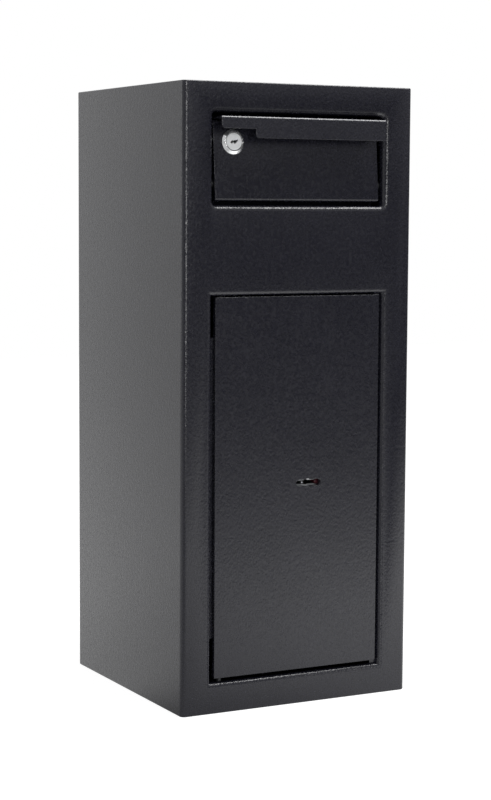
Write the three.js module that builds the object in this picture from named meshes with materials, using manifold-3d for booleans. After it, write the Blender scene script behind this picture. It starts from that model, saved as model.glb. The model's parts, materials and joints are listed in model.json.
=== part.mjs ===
import * as THREE from 'three';
import { mergeVertices } from 'three/addons/utils/BufferGeometryUtils.js';
import Module from 'manifold-3d';

// Drop safe: a tilting deposit drawer above a vault with a key-locked door.
// Millimetres, X to the right, Y to the back, Z up. The origin is the centre of the underside.

const wasm = await Module();
wasm.setup();

// Clearances that every fit shares
const seatGap = 0.3;
const runningGap = 0.35;
const cutOverrun = 3;

// Cabinet
const cabinetWidth = 250;
const cabinetDepth = 250;
const cabinetHeight = 600;
const bodySheet = 2;
const bodyBend = 5;
const bodyEdgeRounding = 1.2;
const edgeCutterOutset = 0.02;
const backReturn = 18;
const panSheet = 1.5;
const panBend = 2.4;
const panFlange = 16;
const joggleRun = 2.5;
const backStripWidth = 12;

// Openings in the front
const openingSideMargin = 30;
const rimBend = 5.5;
const drawerTopMargin = 28.6;
const drawerOpeningHeight = 86.4;
const drawerOpeningCorner = 3;
const drawerRimDepth = 9;
const openingSpacing = 85;
const doorOpeningBottom = 29.8;

// Anchor holes
const anchorHoleRadius = 5.5;
const anchorHoleSpacing = 120;
const baseAnchorSetback = 20;
const backAnchorHeight = 330;

// Deposit drawer, drawn upright about its pivot axis and then leant back
const drawerLean = THREE.MathUtils.degToRad(4.57);
const drawerOpenAngle = THREE.MathUtils.degToRad(45);
const pivotSetback = 14;
const pivotRise = 20;
const drawerSideGap = 5.5;
const drawerSheet = 1.5;
const panelSetback = 9.2;
const panelDrop = 16.6;
const panelTopGap = 7.1;
const panelBend = 3;
const panelTopFlange = 14;
const panelBottomFlange = 9;

// Handle lip on the drawer's top flange
const handleReach = 19.2;
const handleSheet = 1.5;
const handleBend = 2.5;
const handleDrop = 20.5;
const handleShortDrop = 11.8;
const handleShortLength = 35.6;
const handleCorner = 3;

// Drawer cheeks and tray
const cheekSheet = 1.5;
const cheekInset = 0.5;
const cheekRearRadius = 76;
const stopGap = 0.4;
const trayEndRadius = 77;
const traySlope = THREE.MathUtils.degToRad(30);
const trayDrop = 7.5;
const trayFrontFlange = 5.4;
const trayRearLip = 6;
const traySideFlange = 7;
const trayBend = 2.2;
const cheekOverlapAngle = THREE.MathUtils.degToRad(7);

// Fixed hopper sides, drawer pivots and the toothed guard
const hopperSheet = 1.5;
const hopperFlange = 18;
const hopperDrop = 56;
const hopperFrontDrop = 36;
const hopperRearDrop = 26;
const hopperFootStart = 24;
const hopperFootEnd = 54;
const stopTabLength = 11;
const stopTabShare = 0.62;
const journalRadius = 3.2;
const pivotHeadRadius = 5.5;
const pivotHeadThickness = 2;
const pivotShankRadius = 2.5;
const rivetHeadRadius = 4.5;
const rivetHeadThickness = 1.6;
const guardRadius = 80;
const guardSheet = 1.5;
const guardTurn = THREE.MathUtils.degToRad(54);
const guardOverlapAngle = THREE.MathUtils.degToRad(8);
const guardTopFlange = 14;
const guardBend = 3;
const toothCount = 15;
const toothDepth = 10;
const toothTipWidth = 2.4;

// Cam lock in the drawer's front
const camLockInset = 20.2;
const camLockDrop = 20.6;
const bezelRadius = 11.9;
const bezelHeight = 3.4;
const bezelRimHeight = 0.9;
const bezelFaceRadius = 9.2;
const barrelRadius = 9.3;
const barrelFlat = 7.9;
const barrelLength = 11.2;
const plugRadius = 7;
const plugHeadRadius = 8.5;
const plugHeadThickness = 1.8;
const plugHeadRecess = 0.3;
const keywayLength = 7;
const keywayHeight = 1.7;
const keywayDepth = 6;
const plugTailSide = 7;
const nutAcross = 23;
const nutThickness = 3;
const nutSides = 6;
const camThickness = 2;
const camLength = 33;
const camHubRadius = 8.5;
const camTipHalfWidth = 5;
const camSweepGap = 1;
const camScrewRadius = 4.2;
const camScrewHeight = 2.4;

// Vault door
const doorSideGap = 5;
const doorTopGap = 1.2;
const doorBottomGap = 4.1;
const doorInset = 1.1;
const leafThickness = 5;
const hingeInset = 10;
const hingeSetback = 10.2;
const hingePinRadius = 2.5;
const hingeHeadRadius = 4;
const hingeHeadHeight = 2;
const hingeLugHeight = 12;
const hingeLugInset = 12;
const hingeLugFoot = 3;
const hingeLugReach = 12;
const hingeBracketSheet = 2.5;
const hingeBracketLeg = 10.5;
const hingeBracketRadius = 10;
const stopStripThickness = 2;
const stopStripWidth = 15.5;
const stopStripOverlap = 3;
const stopStripOverrun = 5;
const dogThickness = 5;
const dogReach = 12.5;
const dogHousingGap = 7;
const dogLugGap = 14;

// Bolt work housing on the door's back
const housingLeftInset = 25.5;
const housingRightInset = 6;
const housingMargin = 14;
const housingDepth = 25;
const housingSheet = 1.5;
const housingFoot = 9;
const housingRearFlange = 12;
const housingBend = 2.3;
const coverSheet = 1.5;
const coverInset = 1;
const coverCorner = 3;
const swageInset = 24;
const swageHeight = 2;
const swageRun = 4;
const swageCorner = 8;
const coverScrewInset = 6;
const coverScrewRadius = 1.9;
const coverScrewHeadRadius = 3.8;
const coverScrewHeadHeight = 2;
const coverScrewLength = 5;

// Key lock and the bolts
const keyholeInset = 77.8;
const keyholeRise = 0.8;
const keyholeLength = 26.8;
const keyholeSlot = 6.2;
const keyholeEyeRadius = 4.2;
const keyholeChamfer = 0.5;
const lockCaseWidth = 44;
const lockCaseHeight = 58;
const lockCaseDepth = 13.2;
const lockCaseCorner = 4;
const carrierRadius = 16;
const carrierFrontGap = 1.2;
const carrierLength = 10.4;
const carrierSlotDepth = 8.3;
const carrierSlotLength = 23;
const carrierSlot = 3.4;
const carrierEyeRadius = 2.5;
const carrierJournalRadius = 5;
const carrierTailSide = 6.4;
const wardPinRadius = 1.1;
const wardPinOffset = 4.2;
const keyGuideOffset = 11.7;
const keyGuideRadius = 2.5;
const crankThickness = 2.3;
const crankRadius = 11;
const crankThrow = 7;
const crankPinRadius = 2.5;
const boltRadius = 7;
const boltLeafGap = 2.7;
const boltCount = 3;
const boltEndRoom = 69;
const boltTipGap = 1;
const boltChamfer = 2;
const boltTailRadius = 4;
const boltRivetRadius = 5.5;
const boltRivetThickness = 2;
const barThickness = 2.5;
const barCrankGap = 0.9;
const barKeyOffset = 9;
const barHousingGap = 23;
const barFlangeGap = 2.3;
const barEnd = 20;
const barBend = 3.3;
const barTabReach = 10;
const barTabRise = 17;
const barTabDrop = 8;
const studInset = 14.5;
const studPlaceShare = 0.7;
const studRadius = 3;
const studBaseRadius = 5;
const studHeadRadius = 5.5;
const studHeadHeight = 1.8;

// Facets of curves
const bendSteps = 6;
const smallBendSteps = 3;
const roundSteps = 28;
const smallRoundSteps = 16;
const windowSteps = 12;
const arcStepAngle = THREE.MathUtils.degToRad(6);

// Places worked out from the sizes above
const frontY = -cabinetDepth / 2;
const backY = cabinetDepth / 2;
const sheetBackY = frontY + bodySheet;
const behindFrontY = sheetBackY + seatGap;
const insideHalf = cabinetWidth / 2 - bodySheet - seatGap;
const insideDepthHalf = cabinetDepth / 2 - bodySheet - seatGap;
const openingWidth = cabinetWidth - 2 * openingSideMargin;
const openingHalf = openingWidth / 2;
const drawerOpeningBottom = cabinetHeight - drawerTopMargin - drawerOpeningHeight;
const doorOpeningHeight = drawerOpeningBottom - openingSpacing - doorOpeningBottom;
const panelHeight = drawerOpeningHeight + panelDrop - pivotRise - panelTopGap;
const topUnderside = cabinetHeight - panSheet - seatGap;
const panFlangeGap = 2 * seatGap;
const cornerNestRadius = bodyBend - bodySheet - seatGap;
const rimNestRadius = rimBend - bodySheet - seatGap;

const pivotY = frontY + pivotSetback;
const pivotZ = drawerOpeningBottom + pivotRise;
const pivotCollarRadius = pivotSetback - drawerRimDepth - seatGap;
const hopperInnerX = openingHalf + bodySheet + seatGap;
const cheekFrontRadius = panelHeight - panelDrop - drawerSheet - seatGap;
const drawerWidth = openingWidth - 2 * drawerSideGap;
const cheekOuterX = drawerWidth / 2 - cheekInset;
const cheekInnerX = cheekOuterX - cheekSheet;
const panelFrontY = -panelSetback;
const panelBackY = panelFrontY + drawerSheet;
const panelBottomZ = -panelDrop;
const panelTopZ = panelHeight - panelDrop;
const rimEndAngle = Math.atan2(drawerOpeningHeight - pivotRise, drawerRimDepth - pivotSetback);
const rimEndRadius = Math.hypot(drawerOpeningHeight - pivotRise, drawerRimDepth - pivotSetback);
const cheekStopAngle = rimEndAngle - drawerOpenAngle - stopGap / rimEndRadius + drawerLean;

const camLockX = camLockInset - drawerWidth / 2;
const camLockZ = panelTopZ - camLockDrop;
const camFrontY = panelFrontY + barrelLength + seatGap;
const camBackY = camFrontY + camThickness;

const leafWidth = openingWidth - 2 * doorSideGap;
const leafHeight = doorOpeningHeight - doorTopGap - doorBottomGap;
const leafHalf = leafWidth / 2;
const doorY = frontY + doorInset;
const doorZ = doorOpeningBottom + doorBottomGap;
const doorRimDepth = doorInset + leafThickness;
const leafBack = leafThickness + seatGap;
const hingeX = hingeInset - leafHalf;
const hingeY = doorY + hingeSetback;
const knuckleRadius = hingeSetback - leafBack;
const dogWidth = dogReach + housingLeftInset - dogHousingGap;
const dogLength = leafHeight - 2 * (hingeLugInset + hingeLugHeight + dogLugGap);
const housingLeft = housingLeftInset - leafHalf;
const housingRight = leafHalf - housingRightInset;
const housingBack = leafBack + housingDepth;
const housingCentreX = (housingLeft + housingRight) / 2;
const housingHalfX = (housingRight - housingLeft) / 2;
const housingHalfZ = leafHeight / 2 - housingMargin;
const keyholeX = leafHalf - keyholeInset;
const keyZ = leafHeight / 2 + keyholeRise;
const carrierFront = leafThickness + carrierFrontGap;
const carrierBack = carrierFront + carrierLength;
const lockCaseBack = leafBack + lockCaseDepth;
const crankFront = lockCaseBack + seatGap;
const crankBack = crankFront + crankThickness;
const barSetback = crankBack + barCrankGap;
const barFlangeFront = leafBack + barFlangeGap;
const boltSetback = leafBack + boltLeafGap + boltRadius;
const boltTravel = 2 * crankThrow;
const boltTipX = leafHalf - stopStripOverlap - boltTipGap;
const boltMidZ = leafHeight / 2;
const boltPitch = 2 * (housingHalfZ - boltEndRoom) / (boltCount - 1);
const barLeft = keyholeX + barKeyOffset;
const barRight = housingRight - barHousingGap;
const studX = barRight - studInset;
const studOffset = studPlaceShare * boltPitch;

// Solids and booleans

function orientOutward(geometry) {
  const place = geometry.getAttribute('position');
  const index = geometry.getIndex().array;
  const kept = [];
  let volume = 0;
  const a = new THREE.Vector3();
  const b = new THREE.Vector3();
  const c = new THREE.Vector3();
  for (let i = 0; i < index.length; i += 3) {
    const [p, q, r] = [index[i], index[i + 1], index[i + 2]];
    if (p === q || q === r || r === p) continue;
    a.fromBufferAttribute(place, p);
    b.fromBufferAttribute(place, q);
    c.fromBufferAttribute(place, r);
    volume += a.dot(b.cross(c));
    kept.push(p, q, r);
  }
  if (volume < 0) {
    for (let i = 0; i < kept.length; i += 3) {
      [kept[i + 1], kept[i + 2]] = [kept[i + 2], kept[i + 1]];
    }
  }
  geometry.setIndex(kept);
  return geometry;
}

function solidFrom(geometry) {
  const bare = new THREE.BufferGeometry();
  bare.setAttribute('position', geometry.getAttribute('position').clone());
  if (geometry.getIndex()) bare.setIndex(geometry.getIndex().clone());
  const merged = orientOutward(mergeVertices(bare));
  return new wasm.Manifold(new wasm.Mesh({
    numProp: 3,
    vertProperties: new Float32Array(merged.getAttribute('position').array),
    triVerts: new Uint32Array(merged.getIndex().array),
  }));
}

function geometryFrom(solid) {
  const mesh = solid.getMesh();
  const geometry = new THREE.BufferGeometry();
  geometry.setAttribute('position', new THREE.BufferAttribute(mesh.vertProperties, 3));
  geometry.setIndex(new THREE.BufferAttribute(mesh.triVerts, 1));
  geometry.computeVertexNormals();
  return geometry;
}

function joined(...solids) {
  return solids.reduce((whole, next) => whole.add(next));
}

function cut(solid, ...cutters) {
  return cutters.reduce((left, next) => left.subtract(next), solid);
}

function mirrored(solid) {
  return solidFrom(geometryFrom(solid).scale(-1, 1, 1));
}

function box(xLow, xHigh, yLow, yHigh, zLow, zHigh) {
  const geometry = new THREE.BoxGeometry(xHigh - xLow, yHigh - yLow, zHigh - zLow);
  geometry.translate((xLow + xHigh) / 2, (yLow + yHigh) / 2, (zLow + zHigh) / 2);
  return solidFrom(geometry);
}

const extrusionBases = {
  x: [new THREE.Vector3(0, 1, 0), new THREE.Vector3(0, 0, 1), new THREE.Vector3(1, 0, 0)],
  y: [new THREE.Vector3(0, 0, 1), new THREE.Vector3(1, 0, 0), new THREE.Vector3(0, 1, 0)],
  z: [new THREE.Vector3(1, 0, 0), new THREE.Vector3(0, 1, 0), new THREE.Vector3(0, 0, 1)],
};

// An outline drawn across the axis and pulled along it. The outline's pairs are (Y, Z) for x,
// (Z, X) for y and (X, Y) for z.
function extruded(outline, axis, low, high) {
  const shape = new THREE.Shape(outline);
  const geometry = new THREE.ExtrudeGeometry(shape, { depth: high - low, bevelEnabled: false });
  geometry.translate(0, 0, low);
  geometry.applyMatrix4(new THREE.Matrix4().makeBasis(...extrusionBases[axis]));
  return solidFrom(geometry);
}

function point(u, v) {
  return new THREE.Vector2(u, v);
}

function polar(radius, angle) {
  return point(radius * Math.cos(angle), radius * Math.sin(angle));
}

function arc(centre, radius, from, to, steps) {
  const points = [];
  for (let i = 0; i <= steps; i += 1) {
    points.push(polar(radius, from + (to - from) * i / steps).add(centre));
  }
  return points;
}

// A cylinder along an axis, its centre given as (Y, Z), (Z, X) or (X, Y) like an outline's.
function rod(axis, centre, radius, low, high, steps = roundSteps) {
  return extruded(arc(centre, radius, 0, 2 * Math.PI, steps).slice(1), axis, low, high);
}

function revolved(profile, axis, centre, steps = roundSteps) {
  const geometry = new THREE.LatheGeometry(profile, steps);
  if (axis === 'x') geometry.rotateZ(-Math.PI / 2);
  if (axis === 'z') geometry.rotateX(Math.PI / 2);
  geometry.translate(centre.x, centre.y, centre.z);
  return solidFrom(geometry);
}

function intersectionOf(pointA, directionA, pointB, directionB) {
  const across = directionA.cross(directionB);
  const along = pointB.clone().sub(pointA).cross(directionB) / across;
  return pointA.clone().addScaledVector(directionA, along);
}

// The outline of a bent sheet. The path is one face drawn with sharp corners, the material lies
// to its left (side 1) or right (side -1), and each bend keeps the radius inside it.
function bentSheet(path, thickness, insideRadius, side, steps = smallBendSteps) {
  const near = [path[0].clone()];
  const far = [];
  const directions = path.slice(1).map((end, i) => end.clone().sub(path[i]).normalize());
  const toMaterial = directions.map((d) => point(-d.y, d.x).multiplyScalar(side));
  far.push(path[0].clone().addScaledVector(toMaterial[0], thickness));
  for (let i = 1; i < directions.length; i += 1) {
    const before = directions[i - 1];
    const after = directions[i];
    const turn = Math.sign(before.cross(after));
    const angle = Math.acos(THREE.MathUtils.clamp(before.dot(after), -1, 1));
    const materialInside = turn === side;
    const nearRadius = materialInside ? insideRadius + thickness : insideRadius;
    const farRadius = materialInside ? insideRadius : insideRadius + thickness;
    const inward = turn * side;
    const startA = path[i].clone().addScaledVector(toMaterial[i - 1], inward * nearRadius);
    const startB = path[i].clone().addScaledVector(toMaterial[i], inward * nearRadius);
    const centre = intersectionOf(startA, before, startB, after);
    const from = toMaterial[i - 1].clone().multiplyScalar(-inward).angle();
    near.push(...arc(centre, nearRadius, from, from + turn * angle, steps));
    far.push(...arc(centre, farRadius, from, from + turn * angle, steps));
  }
  near.push(path.at(-1).clone());
  far.push(path.at(-1).clone().addScaledVector(toMaterial.at(-1), thickness));
  return [...near, ...far.reverse()];
}

// A closed surface through rings of points. Its ends are capped, or the last ring meets the first.
function lofted(rings, closed = false) {
  const count = rings[0].length;
  const place = rings.flat().flatMap((p) => [p.x, p.y, p.z]);
  const index = [];
  const spans = closed ? rings.length : rings.length - 1;
  for (let i = 0; i < spans; i += 1) {
    for (let j = 0; j < count; j += 1) {
      const a = i * count + j;
      const b = i * count + (j + 1) % count;
      const c = ((i + 1) % rings.length) * count + j;
      const d = ((i + 1) % rings.length) * count + (j + 1) % count;
      index.push(a, b, d, a, d, c);
    }
  }
  if (!closed) {
    const last = (rings.length - 1) * count;
    for (let j = 1; j < count - 1; j += 1) {
      index.push(0, j + 1, j, last, last + j, last + j + 1);
    }
  }
  const geometry = new THREE.BufferGeometry();
  geometry.setAttribute('position', new THREE.Float32BufferAttribute(place, 3));
  geometry.setIndex(index);
  return solidFrom(geometry);
}

function roundedRectangle(halfU, halfV, radius, steps) {
  const corner = Math.max(radius, 0);
  const points = [];
  const corners = [[1, 1, 0], [-1, 1, 1], [-1, -1, 2], [1, -1, 3]];
  for (const [signU, signV, quarter] of corners) {
    const centre = point(signU * (halfU - corner), signV * (halfV - corner));
    const from = quarter * Math.PI / 2;
    points.push(...arc(centre, corner, from, from + Math.PI / 2, steps));
  }
  return points;
}

// A block of rounded rectangular sections. Each section is halves of its width and depth, its
// corner radius and its height.
function sectionBlock(sections, steps = bendSteps) {
  return lofted(sections.map(([halfX, halfY, radius, z]) => (
    roundedRectangle(halfX, halfY, radius, steps).map((p) => new THREE.Vector3(p.x, p.y, z)))));
}

// A frame that follows a rounded rectangle in X and Z. The profile's pairs are the offset outward
// from the rectangle and the place in Y.
function frameRing(profile, centre, halfX, halfZ, corner, steps) {
  const rings = profile.map((p) => {
    const radius = corner > 0 ? corner + p.x : 0;
    return roundedRectangle(halfX + p.x, halfZ + p.x, radius, steps)
      .map((q) => new THREE.Vector3(centre.x + q.x, p.y, centre.y + q.y));
  });
  return lofted(rings, true);
}

// Cabinet

function edgeCutterBlock() {
  const halfX = cabinetWidth / 2 + edgeCutterOutset;
  const halfY = cabinetDepth / 2 + edgeCutterOutset;
  const sections = [];
  for (let i = 0; i <= smallBendSteps; i += 1) {
    const angle = Math.PI / 2 * i / smallBendSteps;
    const inset = bodyEdgeRounding * (1 - Math.sin(angle));
    const rise = bodyEdgeRounding * (1 - Math.cos(angle)) - edgeCutterOutset;
    sections.push([halfX - inset, halfY - inset, bodyBend - inset, rise]);
  }
  const upper = sections.map(([x, y, r, z]) => [x, y, r, cabinetHeight - z]).reverse();
  return sectionBlock([...sections, ...upper]);
}

function openingRim(bottom, height, corner, depth) {
  const centreOfBend = point(rimBend, rimBend);
  const outer = arc(centreOfBend, rimBend, -Math.PI / 2, -Math.PI, bendSteps);
  const inner = arc(centreOfBend, rimBend - bodySheet, -Math.PI, -Math.PI / 2, bendSteps);
  const lap = rimBend + bodySheet;
  const profile = [point(lap, 0), ...outer, point(0, depth), point(bodySheet, depth),
    ...inner, point(lap, bodySheet)];
  const placed = profile.map((p) => point(p.x, p.y + frontY));
  const steps = corner > 0 ? smallBendSteps : 1;
  const middle = point(0, bottom + height / 2);
  return frameRing(placed, middle, openingHalf, height / 2, corner, steps);
}

function openingCutter(bottom, height, corner) {
  const radius = corner > 0 ? corner + rimBend : 0;
  const steps = corner > 0 ? smallBendSteps : 1;
  const outline = roundedRectangle(height / 2 + rimBend, openingHalf + rimBend, radius, steps)
    .map((p) => point(p.x + bottom + height / 2, p.y));
  const unique = corner > 0 ? outline : outline.filter((p, i) => i % 2 === 0);
  return extruded(unique, 'y', frontY - cutOverrun, sheetBackY + cutOverrun);
}

function cabinetWrap() {
  const half = cabinetWidth / 2;
  const path = [
    point(backReturn - half, backY), point(-half, backY), point(-half, frontY),
    point(half, frontY), point(half, backY), point(half - backReturn, backY),
  ];
  const outline = bentSheet(path, bodySheet, bodyBend - bodySheet, 1, bendSteps);
  const sheet = extruded(outline, 'z', 0, cabinetHeight).intersect(edgeCutterBlock());
  const open = cut(
    sheet,
    openingCutter(drawerOpeningBottom, drawerOpeningHeight, drawerOpeningCorner),
    openingCutter(doorOpeningBottom, doorOpeningHeight, 0),
  );
  return joined(
    open,
    openingRim(drawerOpeningBottom, drawerOpeningHeight, drawerOpeningCorner, drawerRimDepth),
    openingRim(doorOpeningBottom, doorOpeningHeight, 0, doorRimDepth),
  );
}

// A shallow pan with its floor at height zero and its flanges turned up inside the wrap.
function pan() {
  const sections = [];
  for (let i = 0; i <= smallBendSteps; i += 1) {
    const angle = Math.PI / 2 * i / smallBendSteps;
    const inset = panBend * (1 - Math.sin(angle));
    const rise = panBend * (1 - Math.cos(angle));
    sections.push([insideHalf - inset, insideDepthHalf - inset, cornerNestRadius, rise]);
  }
  const outer = sectionBlock([...sections, [insideHalf, insideDepthHalf, cornerNestRadius, panFlange]]);
  const innerHalf = insideHalf - panSheet;
  const innerDepthHalf = insideDepthHalf - panSheet;
  const innerRadius = cornerNestRadius - panSheet;
  const innerBend = panBend - panSheet;
  const inner = sectionBlock([
    [innerHalf - innerBend, innerDepthHalf - innerBend, innerRadius, panSheet],
    [innerHalf, innerDepthHalf, innerRadius, panSheet + innerBend],
    [innerHalf, innerDepthHalf, innerRadius, panFlange + cutOverrun],
  ]);
  return cut(outer, inner);
}

function anchorHole(axis, centre, low, high) {
  return rod(axis, centre, anchorHoleRadius, low - cutOverrun, high + cutOverrun);
}

function basePanel() {
  const holes = [-1, 1].map((side) => (
    anchorHole('z', point(side * anchorHoleSpacing / 2, baseAnchorSetback), 0, panSheet)));
  return cut(pan(), ...holes);
}

// The back panel lies flush between the wrap's return flanges, with joggled side strips that are
// welded behind them.
function backPanel() {
  const flush = cabinetWidth / 2 - backReturn - joggleRun;
  const recessed = backY - bodySheet - seatGap;
  const stripStart = flush + joggleRun;
  const stripEnd = stripStart + backStripWidth;
  const path = [
    point(-stripEnd, recessed), point(-stripStart, recessed), point(-flush, backY),
    point(flush, backY), point(stripStart, recessed), point(stripEnd, recessed),
  ];
  const outline = bentSheet(path, bodySheet, seatGap, -1, 1);
  const sheet = extruded(outline, 'z', seatGap, cabinetHeight - seatGap);
  const corner = panFlange + seatGap;
  const notchStart = flush - joggleRun;
  const notches = [];
  for (const side of [-1, 1]) {
    const xLow = Math.min(side * notchStart, side * (stripEnd + cutOverrun));
    const xHigh = Math.max(side * notchStart, side * (stripEnd + cutOverrun));
    notches.push(
      box(xLow, xHigh, recessed - bodySheet - cutOverrun, backY + cutOverrun, -cutOverrun, corner),
      box(xLow, xHigh, recessed - bodySheet - cutOverrun, backY + cutOverrun,
        cabinetHeight - corner, cabinetHeight + cutOverrun),
    );
  }
  const holes = [-1, 1].map((side) => (
    anchorHole('y', point(backAnchorHeight, side * anchorHoleSpacing / 2), recessed, backY)));
  return cut(sheet, ...notches, ...holes);
}

// Deposit hopper. Points of the leant drawer are turned into the cabinet's frame.

function leant(p) {
  const cos = Math.cos(drawerLean);
  const sin = Math.sin(drawerLean);
  return point(pivotY + p.x * cos + p.y * sin, pivotZ - p.x * sin + p.y * cos);
}

function trayEnd() {
  const start = point(panelBackY + seatGap, -trayDrop);
  const along = point(Math.cos(traySlope), -Math.sin(traySlope));
  const half = start.dot(along);
  const length = Math.sqrt(half ** 2 + trayEndRadius ** 2 - start.lengthSq()) - half;
  return start.addScaledVector(along, length);
}

const trayEndAngle = Math.atan2(trayEnd().y, trayEnd().x);
const cheekLowerFront = point(panelBackY + seatGap, panelBottomZ + drawerSheet + seatGap);
const cheekLowerKnee = point(panelFrontY + panelBottomFlange + seatGap, cheekLowerFront.y);
const cheekLowerRear = polar(cheekRearRadius, trayEndAngle - cheekOverlapAngle);

function stopTab() {
  const along = cheekLowerRear.clone().sub(cheekLowerKnee).normalize();
  const down = point(along.y, -along.x);
  const middle = cheekLowerKnee.clone().lerp(cheekLowerRear, stopTabShare);
  const corners = [[-1, seatGap], [1, seatGap], [1, seatGap + hopperSheet], [-1, seatGap + hopperSheet]];
  const outline = corners.map(([end, drop]) => leant(
    middle.clone().addScaledVector(along, end * stopTabLength / 2).addScaledVector(down, drop),
  ));
  return extruded(outline, 'x', cheekInnerX, hopperInnerX + hopperSheet / 2);
}

function hopperSide() {
  const rear = pivotY + guardRadius + guardSheet + hopperSheet;
  const path = [
    point(hopperInnerX + hopperFlange, behindFrontY), point(hopperInnerX, behindFrontY),
    point(hopperInnerX, rear),
  ];
  const plan = bentSheet(path, hopperSheet, rimNestRadius - hopperSheet, -1);
  const bottom = pivotZ - hopperDrop;
  const flangeTop = cabinetHeight - panFlange - panFlangeGap;
  const flangeBack = behindFrontY + panSheet + panFlangeGap;
  const side = [
    point(frontY, pivotZ - hopperFrontDrop), point(pivotY + hopperFootStart, bottom),
    point(pivotY + hopperFootEnd, bottom), point(rear, pivotZ - hopperRearDrop),
    point(rear, topUnderside), point(flangeBack, topUnderside),
    point(flangeBack, flangeTop), point(frontY, flangeTop),
  ];
  const wide = hopperInnerX + hopperFlange + cutOverrun;
  const plate = extruded(plan, 'z', bottom - cutOverrun, topUnderside)
    .intersect(extruded(side, 'x', hopperInnerX - cutOverrun, wide));
  const hole = rod('x', point(pivotY, pivotZ), pivotShankRadius + seatGap,
    hopperInnerX - cutOverrun, wide, smallRoundSteps);
  return joined(cut(plate, hole), stopTab());
}

// The room that the cam sweeps through a plate to its left, as it turns up to lock.
function camSweep(plateDistance) {
  const reach = camLength + camSweepGap;
  const drop = Math.sqrt(reach ** 2 - plateDistance ** 2) + camTipHalfWidth;
  const zLow = camLockZ - drop;
  const zHigh = camLockZ + camHubRadius;
  return [
    point(camFrontY - camSweepGap, zLow), point(camBackY + camSweepGap, zLow),
    point(camBackY + camSweepGap, zHigh), point(camFrontY - camSweepGap, zHigh),
  ];
}

function camSlotInHopper() {
  const outline = camSweep(hopperInnerX + camLockX).map(leant);
  return extruded(outline, 'x', -hopperInnerX - hopperSheet - cutOverrun, -hopperInnerX + cutOverrun);
}

function camWindowInCheek() {
  const outline = camSweep(cheekInnerX + camLockX);
  return extruded(outline, 'x', -cheekOuterX - cutOverrun, -cheekInnerX + cutOverrun);
}

function pivotPin() {
  const plateOuter = hopperInnerX + hopperSheet + seatGap;
  const collarEnd = cheekOuterX + seatGap;
  const journalEnd = cheekInnerX - seatGap;
  const profile = [
    point(0, journalEnd - pivotHeadThickness), point(pivotHeadRadius, journalEnd - pivotHeadThickness),
    point(pivotHeadRadius, journalEnd), point(journalRadius, journalEnd),
    point(journalRadius, collarEnd), point(pivotCollarRadius, collarEnd),
    point(pivotCollarRadius, hopperInnerX - seatGap), point(pivotShankRadius, hopperInnerX - seatGap),
    point(pivotShankRadius, plateOuter), point(rivetHeadRadius, plateOuter),
    point(rivetHeadRadius, plateOuter + rivetHeadThickness), point(0, plateOuter + rivetHeadThickness),
  ];
  return revolved(profile, 'x', new THREE.Vector3(), smallRoundSteps);
}

function toothNotch(x, angle) {
  const pitch = 2 * (hopperInnerX - seatGap) / toothCount;
  const half = (pitch - toothTipWidth) / 2;
  const slope = half / toothDepth;
  const wide = half + slope * cutOverrun;
  const outline = [point(-wide, -cutOverrun), point(wide, -cutOverrun), point(0, toothDepth)];
  const shape = new THREE.Shape(outline);
  const geometry = new THREE.ExtrudeGeometry(shape, { depth: 2 * toothDepth, bevelEnabled: false });
  geometry.translate(0, 0, -toothDepth);
  const up = new THREE.Vector3(0, -Math.sin(angle), Math.cos(angle));
  const across = new THREE.Vector3(1, 0, 0);
  const basis = new THREE.Matrix4().makeBasis(across, up, across.clone().cross(up));
  const foot = polar(guardRadius + guardSheet / 2, angle).add(point(pivotY, pivotZ));
  geometry.applyMatrix4(basis.setPosition(x, foot.x, foot.y));
  return solidFrom(geometry);
}

// The guard is an arc about the drawer's pivot. Its lower edge has teeth that the tray's end
// passes when the drawer is open, so that nothing can be drawn back out of the vault.
function fishingGuard() {
  const pivot = point(pivotY, pivotZ);
  const lowAngle = trayEndAngle - drawerLean + drawerOpenAngle - guardOverlapAngle;
  const steps = Math.round((guardTurn - lowAngle) / arcStepAngle);
  const tangent = polar(guardRadius, guardTurn).add(pivot);
  const topZ = topUnderside - guardSheet;
  const run = (topZ - tangent.y) / Math.cos(guardTurn);
  const corner = point(tangent.x - run * Math.sin(guardTurn), topZ);
  const path = [point(corner.x - guardTopFlange, topZ), corner, tangent];
  const flange = bentSheet(path, guardSheet, guardBend, 1);
  const curve = [
    ...arc(pivot, guardRadius, guardTurn, lowAngle, steps),
    ...arc(pivot, guardRadius + guardSheet, lowAngle, guardTurn, steps),
  ];
  const half = flange.length / 2;
  const outline = [...flange.slice(0, half - 1), ...curve, ...flange.slice(half + 1)];
  const reach = hopperInnerX - seatGap;
  const notches = [];
  for (let i = 0; i <= toothCount; i += 1) {
    notches.push(toothNotch(-reach + 2 * reach * i / toothCount, lowAngle));
  }
  return cut(extruded(outline, 'x', -reach, reach), ...notches);
}

// Moving drawer, drawn upright about its pivot axis

function drawerFront() {
  const path = [
    point(panelFrontY + panelBottomFlange, panelBottomZ), point(panelFrontY, panelBottomZ),
    point(panelFrontY, panelTopZ), point(panelFrontY + panelTopFlange, panelTopZ),
  ];
  const outline = bentSheet(path, drawerSheet, panelBend - drawerSheet, -1, bendSteps);
  const sheet = extruded(outline, 'x', -drawerWidth / 2, drawerWidth / 2);
  const hole = rod('y', point(camLockZ, camLockX), barrelRadius + seatGap,
    panelFrontY - cutOverrun, panelBackY + cutOverrun);
  return cut(sheet, hole);
}

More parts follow.
